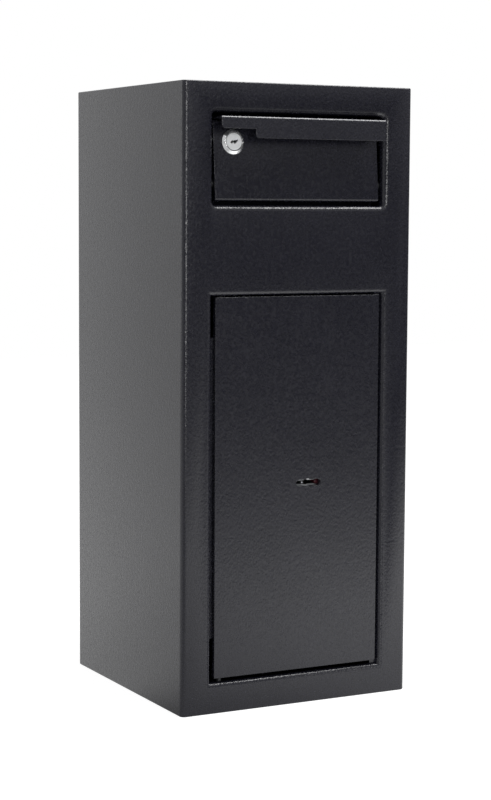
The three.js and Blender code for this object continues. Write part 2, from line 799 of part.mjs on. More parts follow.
function handleLip() {
  const under = panelTopZ + seatGap;
  const top = under + handleSheet;
  const front = panelFrontY - handleReach;
  const half = drawerWidth / 2;
  const path = [
    point(panelFrontY + panelTopFlange, top), point(front, top), point(front, top - handleDrop),
  ];
  const outline = bentSheet(path, handleSheet, handleBend - handleSheet, 1, bendSteps);
  const sheet = extruded(outline, 'x', -half, half);
  const low = top - handleDrop;
  const shortLow = top - handleShortDrop;
  const step = handleShortLength - half;
  const r = handleCorner;
  const leftPart = [
    ...arc(point(shortLow + r, r - half), r, -Math.PI / 2, -Math.PI, smallBendSteps),
    point(shortLow, step + r), point(top + cutOverrun, step + r), point(top + cutOverrun, -half),
  ];
  const tallPart = [
    ...arc(point(low + r, step + r), r, -Math.PI / 2, -Math.PI, smallBendSteps),
    ...arc(point(low + r, half - r), r, Math.PI, Math.PI / 2, smallBendSteps),
    point(top + cutOverrun, half), point(top + cutOverrun, step),
  ];
  const yLow = front - cutOverrun;
  const yHigh = panelFrontY + panelTopFlange + cutOverrun;
  const face = joined(extruded(leftPart, 'y', yLow, yHigh), extruded(tallPart, 'y', yLow, yHigh));
  return sheet.intersect(face);
}

function drawerCheek() {
  const corner = panelBend - drawerSheet - seatGap;
  const cornerCentre = cheekLowerFront.clone().addScalar(corner);
  const frontTop = Math.PI - Math.acos(-cheekLowerFront.x / cheekFrontRadius);
  const rearSpan = cheekStopAngle - trayEndAngle + cheekOverlapAngle;
  const rearSteps = Math.round(rearSpan / arcStepAngle);
  const frontSteps = Math.round((frontTop - cheekStopAngle) / arcStepAngle);
  const centre = point(0, 0);
  const outline = [
    ...arc(cornerCentre, corner, -Math.PI, -Math.PI / 2, smallBendSteps),
    cheekLowerKnee,
    ...arc(centre, cheekRearRadius, cheekStopAngle - rearSpan, cheekStopAngle, rearSteps),
    ...arc(centre, cheekFrontRadius, cheekStopAngle, frontTop, frontSteps),
  ];
  const sheet = extruded(outline, 'x', cheekInnerX, cheekOuterX);
  const hole = rod('x', centre, journalRadius + runningGap,
    cheekInnerX - cutOverrun, cheekOuterX + cutOverrun);
  return cut(sheet, hole);
}

function drawerTray() {
  const start = point(panelBackY + seatGap, -trayDrop);
  const end = trayEnd();
  const down = point(-Math.sin(traySlope), -Math.cos(traySlope));
  const lip = end.clone().addScaledVector(down, trayRearLip);
  const path = [point(start.x, start.y - trayFrontFlange), start, end, lip];
  const outline = bentSheet(path, drawerSheet, trayBend - drawerSheet, -1);
  const half = cheekInnerX - seatGap;
  const floor = extruded(outline, 'x', -half, half);
  const along = end.clone().sub(start).normalize();
  const flangeStart = start.clone().addScaledVector(along, panelBottomFlange);
  const flangeEnd = end.clone().addScaledVector(along, -2 * trayBend);
  const flangeOutline = [
    flangeStart.clone().addScaledVector(down, drawerSheet / 2), flangeStart, flangeEnd,
    flangeEnd.clone().addScaledVector(down, traySideFlange),
    flangeStart.clone().addScaledVector(along, traySideFlange)
      .addScaledVector(down, traySideFlange),
  ];
  const flanges = [
    extruded(flangeOutline, 'x', half - drawerSheet, half),
    extruded(flangeOutline, 'x', -half, drawerSheet - half),
  ];
  return joined(floor, ...flanges);
}

// Cam lock, drawn about its own axis with Y running into the drawer

function camLockHousing() {
  const seat = panelFrontY - seatGap;
  const face = seat - bezelHeight;
  const bore = plugRadius + seatGap;
  const counterbore = plugHeadRadius + seatGap;
  const floor = face + plugHeadRecess + plugHeadThickness + seatGap;
  const profile = [
    point(bore, floor), point(counterbore, floor), point(counterbore, face),
    point(bezelFaceRadius, face), point(bezelRadius, seat - bezelRimHeight),
    point(bezelRadius, seat), point(barrelRadius, seat),
    point(barrelRadius, panelFrontY + barrelLength), point(bore, panelFrontY + barrelLength),
    point(bore, floor),
  ];
  const whole = revolved(profile, 'y', new THREE.Vector3());
  const flats = [-1, 1].map((side) => {
    const xLow = side > 0 ? barrelFlat : -barrelRadius - cutOverrun;
    const xHigh = side > 0 ? barrelRadius + cutOverrun : -barrelFlat;
    return box(xLow, xHigh, panelBackY + nutThickness, panelFrontY + barrelLength + cutOverrun,
      -barrelRadius, barrelRadius);
  });
  return cut(whole, ...flats);
}

function camLockNut() {
  const corner = nutAcross / Math.sqrt(3);
  const front = panelBackY + seatGap;
  const outline = arc(point(0, 0), corner, 0, 2 * Math.PI, nutSides).slice(1);
  const hole = rod('y', point(0, 0), barrelRadius + seatGap, front - cutOverrun,
    front + nutThickness + cutOverrun);
  return cut(extruded(outline, 'y', front, front + nutThickness), hole);
}

const keywayShares = [
  [-0.5, -0.1], [-0.32, -0.45], [-0.1, -0.5], [0.05, -0.1], [0.3, -0.25], [0.5, 0.1],
  [0.46, 0.5], [0.2, 0.3], [0.02, 0.5], [-0.2, 0.15], [-0.4, 0.4],
];

function camLockPlug() {
  const face = panelFrontY - seatGap - bezelHeight + plugHeadRecess;
  const shoulder = panelFrontY + barrelLength;
  const tailEnd = camBackY;
  const half = plugTailSide / 2;
  const head = rod('y', point(0, 0), plugHeadRadius, face, face + plugHeadThickness);
  const core = rod('y', point(0, 0), plugRadius, face, shoulder);
  const tail = box(-half, half, shoulder - plugTailSide / 2, tailEnd, -half, half);
  const outline = keywayShares.map(([u, v]) => point(v * keywayHeight, u * keywayLength));
  const keyway = extruded(outline, 'y', face - cutOverrun, face + keywayDepth);
  return cut(joined(head, core, tail), keyway);
}

function camPlate() {
  const tip = camLength - camTipHalfWidth;
  const lean = Math.asin((camHubRadius - camTipHalfWidth) / tip);
  const outline = [
    ...arc(point(0, 0), camHubRadius, Math.PI / 2 + lean, -Math.PI / 2 - lean, roundSteps / 2),
    ...arc(point(-tip, 0), camTipHalfWidth, -Math.PI / 2 - lean, -3 * Math.PI / 2 + lean, bendSteps),
  ];
  const half = plugTailSide / 2 + seatGap;
  const hole = box(-half, half, camFrontY - cutOverrun, camBackY + cutOverrun, -half, half);
  return cut(extruded(outline, 'y', camFrontY, camBackY), hole);
}

function camScrew() {
  const start = camBackY + seatGap;
  const profile = [
    point(0, start), point(camScrewRadius, start),
    point(camScrewRadius, start + camScrewHeight / 2),
    point(camScrewRadius * Math.SQRT1_2, start + camScrewHeight), point(0, start + camScrewHeight),
  ];
  return revolved(profile, 'y', new THREE.Vector3(), smallRoundSteps);
}

// Door hinges and stop on the cabinet

function hingeBracket(upper) {
  const edge = upper ? doorOpeningBottom + doorOpeningHeight : doorOpeningBottom;
  const sign = upper ? 1 : -1;
  const legFace = edge + sign * (bodySheet + seatGap);
  const rear = hingeY + hingeBracketRadius;
  const path = [
    point(behindFrontY, legFace + sign * hingeBracketLeg), point(behindFrontY, legFace),
    point(rear, legFace),
  ];
  const outline = bentSheet(path, hingeBracketSheet, rimNestRadius - hingeBracketSheet, sign);
  const sheet = extruded(outline, 'x', hingeX - hingeBracketRadius, hingeX + hingeBracketRadius);
  const zLow = Math.min(legFace, legFace + sign * hingeBracketLeg) - cutOverrun;
  const zHigh = Math.max(legFace, legFace + sign * hingeBracketLeg) + cutOverrun;
  const plan = joined(
    rod('z', point(hingeX, hingeY), hingeBracketRadius, zLow, zHigh),
    box(hingeX - hingeBracketRadius, hingeX + hingeBracketRadius, frontY, hingeY, zLow, zHigh),
  );
  const hole = rod('z', point(hingeX, hingeY), hingePinRadius + seatGap, zLow, zHigh, smallRoundSteps);
  return cut(sheet.intersect(plan), hole);
}

function hingePin(upper) {
  const edge = upper ? doorOpeningBottom + doorOpeningHeight : doorOpeningBottom;
  const sign = upper ? 1 : -1;
  const seat = edge + sign * (bodySheet + 2 * seatGap + hingeBracketSheet);
  const lugFar = upper ? doorZ + leafHeight - hingeLugInset - hingeLugHeight
    : doorZ + hingeLugInset + hingeLugHeight;
  const profile = [
    point(0, lugFar), point(hingePinRadius, lugFar), point(hingePinRadius, seat),
    point(hingeHeadRadius, seat), point(hingeHeadRadius, seat + sign * hingeHeadHeight),
    point(0, seat + sign * hingeHeadHeight),
  ];
  const geometry = new THREE.LatheGeometry(profile, smallRoundSteps);
  geometry.applyMatrix4(new THREE.Matrix4().makeBasis(
    new THREE.Vector3(1, 0, 0), new THREE.Vector3(0, 0, 1), new THREE.Vector3(0, -1, 0),
  ));
  geometry.translate(hingeX, hingeY, 0);
  return solidFrom(geometry);
}

function doorStop() {
  const xLow = leafHalf - stopStripOverlap;
  const yLow = frontY + doorRimDepth + seatGap;
  const zLow = doorOpeningBottom - stopStripOverrun;
  const zHigh = doorOpeningBottom + doorOpeningHeight + stopStripOverrun;
  return box(xLow, xLow + stopStripWidth, yLow, yLow + stopStripThickness, zLow, zHigh);
}

// Door, drawn from the middle of its lower front edge with Y running into the cabinet

function keyholeOutline(length, slot, eyeRadius) {
  const opening = Math.asin(slot / 2 / eyeRadius);
  const upper = arc(point(0, 0), eyeRadius, opening, Math.PI - opening, smallBendSteps + 1);
  const points = [];
  const halfSlot = slot / 2;
  const straight = length / 2 - halfSlot;
  const rightEnd = arc(point(straight, 0), halfSlot, -Math.PI / 2, Math.PI / 2, bendSteps);
  const leftEnd = arc(point(-straight, 0), halfSlot, Math.PI / 2, 3 * Math.PI / 2, bendSteps);
  points.push(...rightEnd, ...upper, ...leftEnd);
  points.push(...upper.map((p) => point(-p.x, -p.y)));
  return points.map((p) => point(p.y + keyZ, p.x + keyholeX));
}

function doorLeaf() {
  const plate = box(-leafHalf, leafHalf, 0, leafThickness, 0, leafHeight);
  const outline = keyholeOutline(keyholeLength, keyholeSlot, keyholeEyeRadius);
  const rings = [[2 * keyholeChamfer, -keyholeChamfer], [0, keyholeChamfer]].map(([grow, y]) => (
    keyholeOutline(keyholeLength + 2 * grow, keyholeSlot + 2 * grow, keyholeEyeRadius + grow)
      .map((p) => new THREE.Vector3(p.y, y, p.x))));
  return cut(plate, extruded(outline, 'y', -cutOverrun, leafThickness + cutOverrun), lofted(rings));
}

function coverScrewPlaces() {
  const places = [];
  for (const signX of [-1, 1]) {
    for (const signZ of [-1, 1]) {
      const x = housingCentreX + signX * (housingHalfX - coverScrewInset);
      const z = leafHeight / 2 + signZ * (housingHalfZ - coverScrewInset);
      places.push(point(z, x));
    }
  }
  return places;
}

function boltHeights() {
  return Array.from({ length: boltCount }, (_, i) => boltMidZ + (i - (boltCount - 1) / 2) * boltPitch);
}

function boltHousing() {
  const path = [
    point(-housingFoot, leafBack), point(0, leafBack), point(0, housingBack),
    point(-housingRearFlange, housingBack),
  ];
  const profile = bentSheet(path, housingSheet, housingBend - housingSheet, 1);
  const middle = point(housingCentreX, leafHeight / 2);
  const ring = frameRing(profile, middle, housingHalfX, housingHalfZ, 0, 1);
  const boltHoles = boltHeights().map((z) => rod('x', point(boltSetback, z), boltRadius + runningGap,
    housingRight - housingSheet - cutOverrun, housingRight + cutOverrun));
  const screwHoles = coverScrewPlaces().map((place) => rod('y', place, coverScrewRadius + seatGap,
    housingBack - housingSheet - cutOverrun, housingBack + cutOverrun, smallRoundSteps));
  return cut(ring, ...boltHoles, ...screwHoles);
}

function swageBlock(grow, low, high) {
  const halfX = housingHalfX - swageInset + grow;
  const halfZ = housingHalfZ - swageInset + grow;
  const rings = [[0, low], [swageRun, high]].map(([inset, y]) => (
    roundedRectangle(halfX - inset, halfZ - inset, swageCorner + grow, smallBendSteps)
      .map((p) => new THREE.Vector3(housingCentreX + p.x, y, leafHeight / 2 + p.y))));
  return lofted(rings);
}

function boltCover() {
  const front = housingBack + seatGap;
  const back = front + coverSheet;
  const outline = roundedRectangle(housingHalfZ - coverInset, housingHalfX - coverInset,
    coverCorner, smallBendSteps).map((p) => point(p.x + leafHeight / 2, p.y + housingCentreX));
  const plate = extruded(outline, 'y', front, back);
  const raised = joined(plate, swageBlock(coverSheet, back - coverSheet / 2, back + swageHeight));
  const hollow = swageBlock(0, front - coverSheet / 2, back + swageHeight - coverSheet);
  const holes = coverScrewPlaces().map((place) => rod('y', place, coverScrewRadius + seatGap,
    front - cutOverrun, back + cutOverrun, smallRoundSteps));
  return cut(raised, hollow, ...holes);
}

function coverScrew() {
  const seat = housingBack + seatGap + coverSheet + seatGap;
  const profile = [
    point(0, seat - coverScrewLength), point(coverScrewRadius, seat - coverScrewLength),
    point(coverScrewRadius, seat), point(coverScrewHeadRadius, seat),
    point(coverScrewHeadRadius, seat + coverScrewHeadHeight / 2),
    point(coverScrewHeadRadius * Math.SQRT1_2, seat + coverScrewHeadHeight),
    point(0, seat + coverScrewHeadHeight),
  ];
  return revolved(profile, 'y', new THREE.Vector3(), smallRoundSteps);
}

function dogBar() {
  const zMiddle = leafHeight / 2;
  const left = -leafHalf - dogReach;
  return box(left, left + dogWidth, leafBack, leafBack + dogThickness,
    zMiddle - dogLength / 2, zMiddle + dogLength / 2);
}

function hingeLug(upper) {
  const zLow = upper ? leafHeight - hingeLugInset - hingeLugHeight : hingeLugInset;
  const zHigh = zLow + hingeLugHeight;
  const axis = point(hingeX, hingeSetback);
  const knuckle = rod('z', axis, knuckleRadius, zLow, zHigh);
  const xLow = hingeX - knuckleRadius - hingeLugFoot;
  const foot = box(xLow, hingeX + hingeLugReach, leafBack, leafBack + hingeLugFoot, zLow, zHigh);
  const web = box(hingeX - knuckleRadius, hingeX + knuckleRadius, leafBack, hingeSetback, zLow, zHigh);
  const hole = rod('z', axis, hingePinRadius + runningGap, zLow - cutOverrun, zHigh + cutOverrun,
    smallRoundSteps);
  return cut(joined(foot, web, knuckle), hole);
}

function lockCase() {
  const outline = roundedRectangle(lockCaseHeight / 2, lockCaseWidth / 2, lockCaseCorner,
    smallBendSteps).map((p) => point(p.x + keyZ, p.y + keyholeX));
  const block = extruded(outline, 'y', leafBack, lockCaseBack);
  const centre = point(keyZ, keyholeX);
  const chamber = rod('y', centre, carrierRadius + runningGap, leafBack - cutOverrun,
    carrierBack + seatGap);
  const journalHole = rod('y', centre, carrierJournalRadius + runningGap, leafBack,
    lockCaseBack + cutOverrun, smallRoundSteps);
  return cut(block, chamber, journalHole);
}

function keyCarrier() {
  const centre = point(keyZ, keyholeX);
  const body = rod('y', centre, carrierRadius, carrierFront, carrierBack);
  const journal = rod('y', centre, carrierJournalRadius, carrierBack - seatGap, lockCaseBack,
    smallRoundSteps);
  const half = carrierTailSide / 2;
  const tail = box(keyholeX - half, keyholeX + half, lockCaseBack - half, crankBack,
    keyZ - half, keyZ + half);
  const outline = keyholeOutline(carrierSlotLength, carrierSlot, carrierEyeRadius);
  const floor = carrierFront + carrierSlotDepth;
  const slot = extruded(outline, 'y', carrierFront - cutOverrun, floor);
  const guideHole = rod('y', point(keyZ, keyholeX + keyGuideOffset), keyGuideRadius + seatGap,
    carrierFront - cutOverrun, floor, smallRoundSteps);
  return cut(joined(body, journal, tail), slot, guideHole);
}

function wardPin() {
  const floor = carrierFront + carrierSlotDepth - seatGap;
  const centre = point(keyZ, keyholeX - wardPinOffset);
  return rod('y', centre, wardPinRadius, carrierFront - seatGap, floor, smallRoundSteps);
}

function keyGuide() {
  const floor = carrierFront + carrierSlotDepth - seatGap;
  const centre = point(keyZ, keyholeX + keyGuideOffset);
  return rod('y', centre, keyGuideRadius, carrierFront - seatGap, floor, smallRoundSteps);
}

function keyCrank() {
  const centre = point(keyZ, keyholeX);
  const disc = rod('y', centre, crankRadius, crankFront, crankBack);
  const pin = rod('y', point(keyZ, keyholeX - crankThrow), crankPinRadius, crankFront,
    barSetback + barThickness + studHeadHeight, smallRoundSteps);
  const half = carrierTailSide / 2 + seatGap;
  const hole = box(keyholeX - half, keyholeX + half, crankFront - cutOverrun, crankBack + cutOverrun,
    keyZ - half, keyZ + half);
  return cut(joined(disc, pin), hole);
}

// The window that the crank pin works in. The bar moves in step with the key's half turn, so the
// pin's path over the bar is a closed loop, and the window is that loop grown by the pin.
function crankWindow() {
  const grow = crankPinRadius + runningGap;
  const loop = [];
  for (let i = 0; i <= windowSteps; i += 1) {
    const turn = Math.PI * i / windowSteps;
    const x = crankThrow * (1 - Math.cos(turn)) - boltTravel * turn / Math.PI;
    const z = crankThrow * Math.sin(turn);
    const tangentX = crankThrow * Math.sin(turn) - boltTravel / Math.PI;
    const tangentZ = crankThrow * Math.cos(turn);
    const outward = point(-tangentZ, tangentX).normalize();
    loop.push(point(x, z).addScaledVector(outward, grow));
  }
  const from = loop.at(-1).angle() - 2 * Math.PI;
  const to = loop[0].angle() - 2 * Math.PI;
  const cap = arc(point(0, 0), grow, from, to, smallBendSteps + 1).slice(1, -1);
  return [...loop, ...cap].map((p) => point(p.y + keyZ, p.x + keyholeX - crankThrow));
}

function boltBar() {
  const bar = [
    point(barLeft, barSetback + barThickness), point(barRight, barSetback + barThickness),
    point(barRight, barFlangeFront),
  ];
  const plan = bentSheet(bar, barThickness, barBend - barThickness, -1);
  const reach = (boltCount - 1) / 2 * boltPitch + barEnd;
  const web = extruded(plan, 'z', boltMidZ - reach, boltMidZ + reach);
  const tab = box(keyholeX - crankThrow - barTabReach, barLeft + barThickness, barSetback,
    barSetback + barThickness, keyZ - barTabDrop, keyZ + barTabRise);
  const yLow = barSetback - cutOverrun;
  const yHigh = barSetback + barThickness + cutOverrun;
  const window = extruded(crankWindow(), 'y', yLow, yHigh);
  const slotRadius = studRadius + runningGap;
  const slots = [-1, 1].map((side) => {
    const z = boltMidZ + side * studOffset;
    const ends = [
      ...arc(point(studX, z), slotRadius, -Math.PI / 2, Math.PI / 2, bendSteps),
      ...arc(point(studX - boltTravel, z), slotRadius, Math.PI / 2, 3 * Math.PI / 2, bendSteps),
    ];
    return extruded(ends.map((p) => point(p.y, p.x)), 'y', yLow, yHigh);
  });
  const holes = boltHeights().map((z) => rod('x', point(boltSetback, z), boltTailRadius + seatGap,
    barRight - barThickness - cutOverrun, barRight + cutOverrun, smallRoundSteps));
  return cut(joined(web, tab), window, ...slots, ...holes);
}

function lockBolt() {
  const shoulder = barRight + seatGap;
  const rivet = barRight - barThickness - seatGap;
  const profile = [
    point(0, rivet - boltRivetThickness), point(boltRivetRadius, rivet - boltRivetThickness),
    point(boltRivetRadius, rivet), point(boltTailRadius, rivet), point(boltTailRadius, shoulder),
    point(boltRadius, shoulder), point(boltRadius, boltTipX - boltChamfer),
    point(boltRadius - boltChamfer, boltTipX), point(0, boltTipX),
  ];
  return revolved(profile, 'x', new THREE.Vector3(0, boltSetback, 0));
}

function guideStud() {
  const neckStart = barSetback - seatGap;
  const head = barSetback + barThickness + seatGap;
  const profile = [
    point(0, leafBack), point(studBaseRadius, leafBack), point(studBaseRadius, neckStart),
    point(studRadius, neckStart), point(studRadius, head), point(studHeadRadius, head),
    point(studHeadRadius, head + studHeadHeight), point(0, head + studHeadHeight),
  ];
  return revolved(profile, 'y', new THREE.Vector3(), smallRoundSteps);
}

// Finishes

function finish(color, roughness, metalness) {
  return () => new THREE.MeshStandardMaterial({ color, roughness, metalness });
}

const blackCoat = finish(0x24242a, 0.55, 0);
const zincSteel = finish(0xa9adb2, 0.4, 1);
const chromePlate = finish(0xd8dadc, 0.12, 1);
const darkSteel = finish(0x4a4c50, 0.5, 1);
const redPlastic = finish(0x7a1f2c, 0.45, 0);

function piece(parent, name, solid, material, place = new THREE.Vector3()) {
  const mesh = new THREE.Mesh(geometryFrom(solid), material());
  mesh.name = name;
  mesh.position.copy(place);
  parent.add(mesh);
}

// Assembly

const safe = new THREE.Group();

function addCabinet() {
  piece(safe, 'cabinet_wrap', cabinetWrap(), blackCoat);
  const topPan = solidFrom(geometryFrom(pan()).scale(1, 1, -1));
  piece(safe, 'top_panel', topPan, blackCoat, new THREE.Vector3(0, 0, cabinetHeight));
  piece(safe, 'base_panel', basePanel(), blackCoat);
  piece(safe, 'back_panel', backPanel(), blackCoat);
  const side = hopperSide();
  piece(safe, 'hopper_side_right', side, blackCoat);
  piece(safe, 'hopper_side_left', cut(mirrored(side), camSlotInHopper()), blackCoat);
  piece(safe, 'fishing_guard', fishingGuard(), blackCoat);
  const pivotPlace = new THREE.Vector3(0, pivotY, pivotZ);
  piece(safe, 'drawer_pivot_right', pivotPin(), darkSteel, pivotPlace);
  piece(safe, 'drawer_pivot_left', mirrored(pivotPin()), darkSteel, pivotPlace);
  piece(safe, 'hinge_bracket_upper', hingeBracket(true), blackCoat);
  piece(safe, 'hinge_bracket_lower', hingeBracket(false), blackCoat);
  piece(safe, 'hinge_pin_upper', hingePin(true), zincSteel);
  piece(safe, 'hinge_pin_lower', hingePin(false), zincSteel);
  piece(safe, 'door_stop', doorStop(), blackCoat);
}

function addDrawer() {
  const drawer = new THREE.Group();
  drawer.position.set(0, pivotY, pivotZ);
  drawer.rotation.x = -drawerLean;
  safe.add(drawer);
  piece(drawer, 'drawer_front', drawerFront(), blackCoat);
  piece(drawer, 'handle_lip', handleLip(), blackCoat);
  const cheek = drawerCheek();
  piece(drawer, 'drawer_cheek_right', cheek, blackCoat);
  piece(drawer, 'drawer_cheek_left', cut(mirrored(cheek), camWindowInCheek()), blackCoat);
  piece(drawer, 'drawer_tray', drawerTray(), blackCoat);
  const lock = new THREE.Group();
  lock.position.set(camLockX, 0, camLockZ);
  drawer.add(lock);
  piece(lock, 'cam_lock_housing', camLockHousing(), chromePlate);
  piece(lock, 'cam_lock_nut', camLockNut(), zincSteel);
  piece(lock, 'cam_lock_plug', camLockPlug(), chromePlate);
  piece(lock, 'cam_lock_cam', camPlate(), zincSteel);
  piece(lock, 'cam_lock_screw', camScrew(), zincSteel);
}

function addDoor() {
  const door = new THREE.Group();
  door.position.set(0, doorY, doorZ);
  safe.add(door);
  piece(door, 'door_leaf', doorLeaf(), blackCoat);
  piece(door, 'dog_bar', dogBar(), blackCoat);
  piece(door, 'hinge_lug_upper', hingeLug(true), blackCoat);
  piece(door, 'hinge_lug_lower', hingeLug(false), blackCoat);
  piece(door, 'bolt_housing', boltHousing(), blackCoat);
  piece(door, 'bolt_cover', boltCover(), blackCoat);
  coverScrewPlaces().forEach((place, i) => {
    const seat = new THREE.Vector3(place.y, 0, place.x);
    piece(door, `cover_screw_${i + 1}`, coverScrew(), zincSteel, seat);
  });
  piece(door, 'lock_case', lockCase(), darkSteel);
  piece(door, 'key_carrier', keyCarrier(), zincSteel);
  piece(door, 'ward_pin', wardPin(), zincSteel);
  piece(door, 'key_guide', keyGuide(), redPlastic);
  piece(door, 'key_crank', keyCrank(), zincSteel);
  piece(door, 'bolt_bar', boltBar(), zincSteel);
  boltHeights().forEach((z, i) => {
    piece(door, `lock_bolt_${i + 1}`, lockBolt(), zincSteel, new THREE.Vector3(0, 0, z));
  });
  [-1, 1].forEach((side, i) => {
    const seat = new THREE.Vector3(studX, 0, boltMidZ + side * studOffset);
    piece(door, `guide_stud_${i + 1}`, guideStud(), zincSteel, seat);
  });
}

addCabinet();
addDrawer();
addDoor();

export default safe;
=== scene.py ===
import json
import math

import bmesh
import bpy
import numpy as np
from mathutils import Matrix, Vector


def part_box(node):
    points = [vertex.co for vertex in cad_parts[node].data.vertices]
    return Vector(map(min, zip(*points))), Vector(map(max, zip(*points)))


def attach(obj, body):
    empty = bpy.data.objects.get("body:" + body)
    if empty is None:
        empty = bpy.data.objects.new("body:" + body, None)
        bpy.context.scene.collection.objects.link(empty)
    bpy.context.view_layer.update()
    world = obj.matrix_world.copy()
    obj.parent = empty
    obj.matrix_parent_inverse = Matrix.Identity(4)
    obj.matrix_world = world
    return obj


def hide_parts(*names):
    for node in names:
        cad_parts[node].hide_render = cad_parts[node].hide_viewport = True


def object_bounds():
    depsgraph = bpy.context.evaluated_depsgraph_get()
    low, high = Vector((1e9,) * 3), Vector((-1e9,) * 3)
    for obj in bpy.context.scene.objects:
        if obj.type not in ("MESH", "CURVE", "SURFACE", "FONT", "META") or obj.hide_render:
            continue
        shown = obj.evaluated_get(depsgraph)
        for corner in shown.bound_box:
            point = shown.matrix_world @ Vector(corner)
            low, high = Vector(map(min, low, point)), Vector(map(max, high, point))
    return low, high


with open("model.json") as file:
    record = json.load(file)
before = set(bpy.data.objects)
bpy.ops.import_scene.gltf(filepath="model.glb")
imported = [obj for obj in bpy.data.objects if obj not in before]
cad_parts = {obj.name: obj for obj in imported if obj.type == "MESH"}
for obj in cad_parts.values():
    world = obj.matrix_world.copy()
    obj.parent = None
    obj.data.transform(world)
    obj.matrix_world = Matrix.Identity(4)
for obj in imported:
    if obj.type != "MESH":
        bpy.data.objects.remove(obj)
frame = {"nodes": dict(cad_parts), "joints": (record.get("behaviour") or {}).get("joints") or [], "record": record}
cadLow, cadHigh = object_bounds()
print("stage: frame loaded with", len(frame["nodes"]), "nodes")

millimetre = 0.001       # turned pieces are drawn in millimetres, everything else is in metres


# Camera

camera = {
    "place": (-0.9252, -1.7656, 0.4857),
    "yaw": 27.855,          # degrees to the right of straight ahead
    "pitch": 5.686,         # degrees down
    "roll": 0.323,          # degrees, its right side up
    "lens": 88.28,          # millimetres, as the sensor
    "sensor": 36.0,
}


def placeCamera():
    # right, up and forward are the three axes of a view turned by yaw, then pitch, then roll
    yaw, pitch, roll = (math.radians(camera[angle]) for angle in ("yaw", "pitch", "roll"))
    forward = Vector((math.sin(yaw) * math.cos(pitch), math.cos(yaw) * math.cos(pitch), -math.sin(pitch)))
    right = Vector((math.cos(yaw), -math.sin(yaw), 0))
    up = right.cross(forward)
    turnedRight = right * math.cos(roll) + up * math.sin(roll)
    turnedUp = up * math.cos(roll) - right * math.sin(roll)
    data = bpy.data.cameras.new("camera")
    data.lens = camera["lens"]
    data.sensor_width = camera["sensor"]
    view = bpy.data.objects.new("camera", data)
    axes = Matrix((turnedRight, turnedUp, -forward)).transposed()
    view.matrix_world = Matrix.Translation(camera["place"]) @ axes.to_4x4()
    bpy.context.scene.collection.objects.link(view)
    bpy.context.scene.camera = view


placeCamera()
print("stage: camera placed")


# What all node trees share

def link(tree, source, target):
    tree.links.new(source, target)


def feed(tree, value, socket):
    # value is another socket, or what this one is set to
    if isinstance(value, bpy.types.NodeSocket):
        link(tree, value, socket)
    else:
        socket.default_value = value


def addNode(tree, kind, **values):
    node = tree.nodes.new(kind)
    for name, value in values.items():
        setattr(node, name, value)
    return node


def calculated(tree, operation, first, second):
    # first and second are sockets or numbers
    node = addNode(tree, "ShaderNodeMath", operation=operation)
    feed(tree, first, node.inputs[0])
    feed(tree, second, node.inputs[1])
    return node.outputs[0]


def rescaled(tree, value, start, end, first, last, curve="LINEAR"):
    # first up to start, last from end on, and a straight line or another curve between
    node = addNode(tree, "ShaderNodeMapRange", interpolation_type=curve)
    link(tree, value, node.inputs["Value"])
    for name, number in zip(("From Min", "From Max", "To Min", "To Max"), (start, end, first, last)):
        node.inputs[name].default_value = number
    return node.outputs["Result"]


def faded(tree, value, start, end, first, last):
    return rescaled(tree, value, start, end, first, last, "SMOOTHSTEP")


def mixShaders(tree, share, first, second):
    node = addNode(tree, "ShaderNodeMixShader")
    for socket, source in zip(node.inputs, (share, first, second)):
        link(tree, source, socket)
    return node.outputs[0]


# Light, floor and background

lamps = {
    "overhead": {"power": 50.0, "width": 1.05, "height": 1.05, "place": (0.95, -0.38, 2.3)},
    "strip": {"power": 24.0, "width": 0.3, "height": 1.6, "place": (-0.25, -3.1, 0.95)},
    "side": {"power": 8.0, "width": 1.2, "height": 1.6, "place": (-2.6, 1.5, 1.1)},
}
studio = {
    "backdropSide": (-0.5, 0.86, 0.0),    # the way from the object to the bright backdrop
    "fadeStart": -0.75, "fadeEnd": 0.75, "backdropLevel": 0.92, "darkLevel": 0.03,
    "skyStart": -0.02, "skyEnd": 0.35, "skyLevel": 0.55,
    "ambientLevel": 0.4, "cameraLevel": 1.0,
    "floorSize": 8.0, "floorPlain": 0.8, "floorShade": 0.3, "floorGlow": 0.9, "floorShare": 0.86,
    "poolPlace": (0.48, -0.45, 0.0), "poolRadius": 0.95, "poolLevel": 1.6,    # a painted pool of light on the floor, front right, that only gloss sees
}


def areaLight(name, power, width, height, place):
    # a lamp that looks at the middle of the object and is not seen itself
    data = bpy.data.lights.new(name, "AREA")
    data.shape = "RECTANGLE"
    data.size, data.size_y = width, height
    data.energy = power
    lamp = bpy.data.objects.new(name, data)
    middle = (cadLow + cadHigh) / 2
    aim = (middle - Vector(place)).to_track_quat("-Z", "Y")
    lamp.matrix_world = Matrix.Translation(place) @ aim.to_matrix().to_4x4()
    lamp.visible_camera = False
    bpy.context.scene.collection.objects.link(lamp)


def towardsBackdrop(tree, vector):
    # how bright the studio is that way, by the cosine of its angle with the backdrop's side
    unit = addNode(tree, "ShaderNodeVectorMath", operation="NORMALIZE")
    link(tree, vector, unit.inputs[0])
    along = addNode(tree, "ShaderNodeVectorMath", operation="DOT_PRODUCT")
    link(tree, unit.outputs["Vector"], along.inputs[0])
    along.inputs[1].default_value = Vector(studio["backdropSide"]).normalized()
    return faded(tree, along.outputs["Value"], studio["fadeStart"], studio["fadeEnd"],
                 studio["darkLevel"], studio["backdropLevel"])


def background(tree, strength):
    node = addNode(tree, "ShaderNodeBackground")
    node.inputs["Color"].default_value = (1, 1, 1, 1)
    feed(tree, strength, node.inputs["Strength"])
    return node.outputs[0]


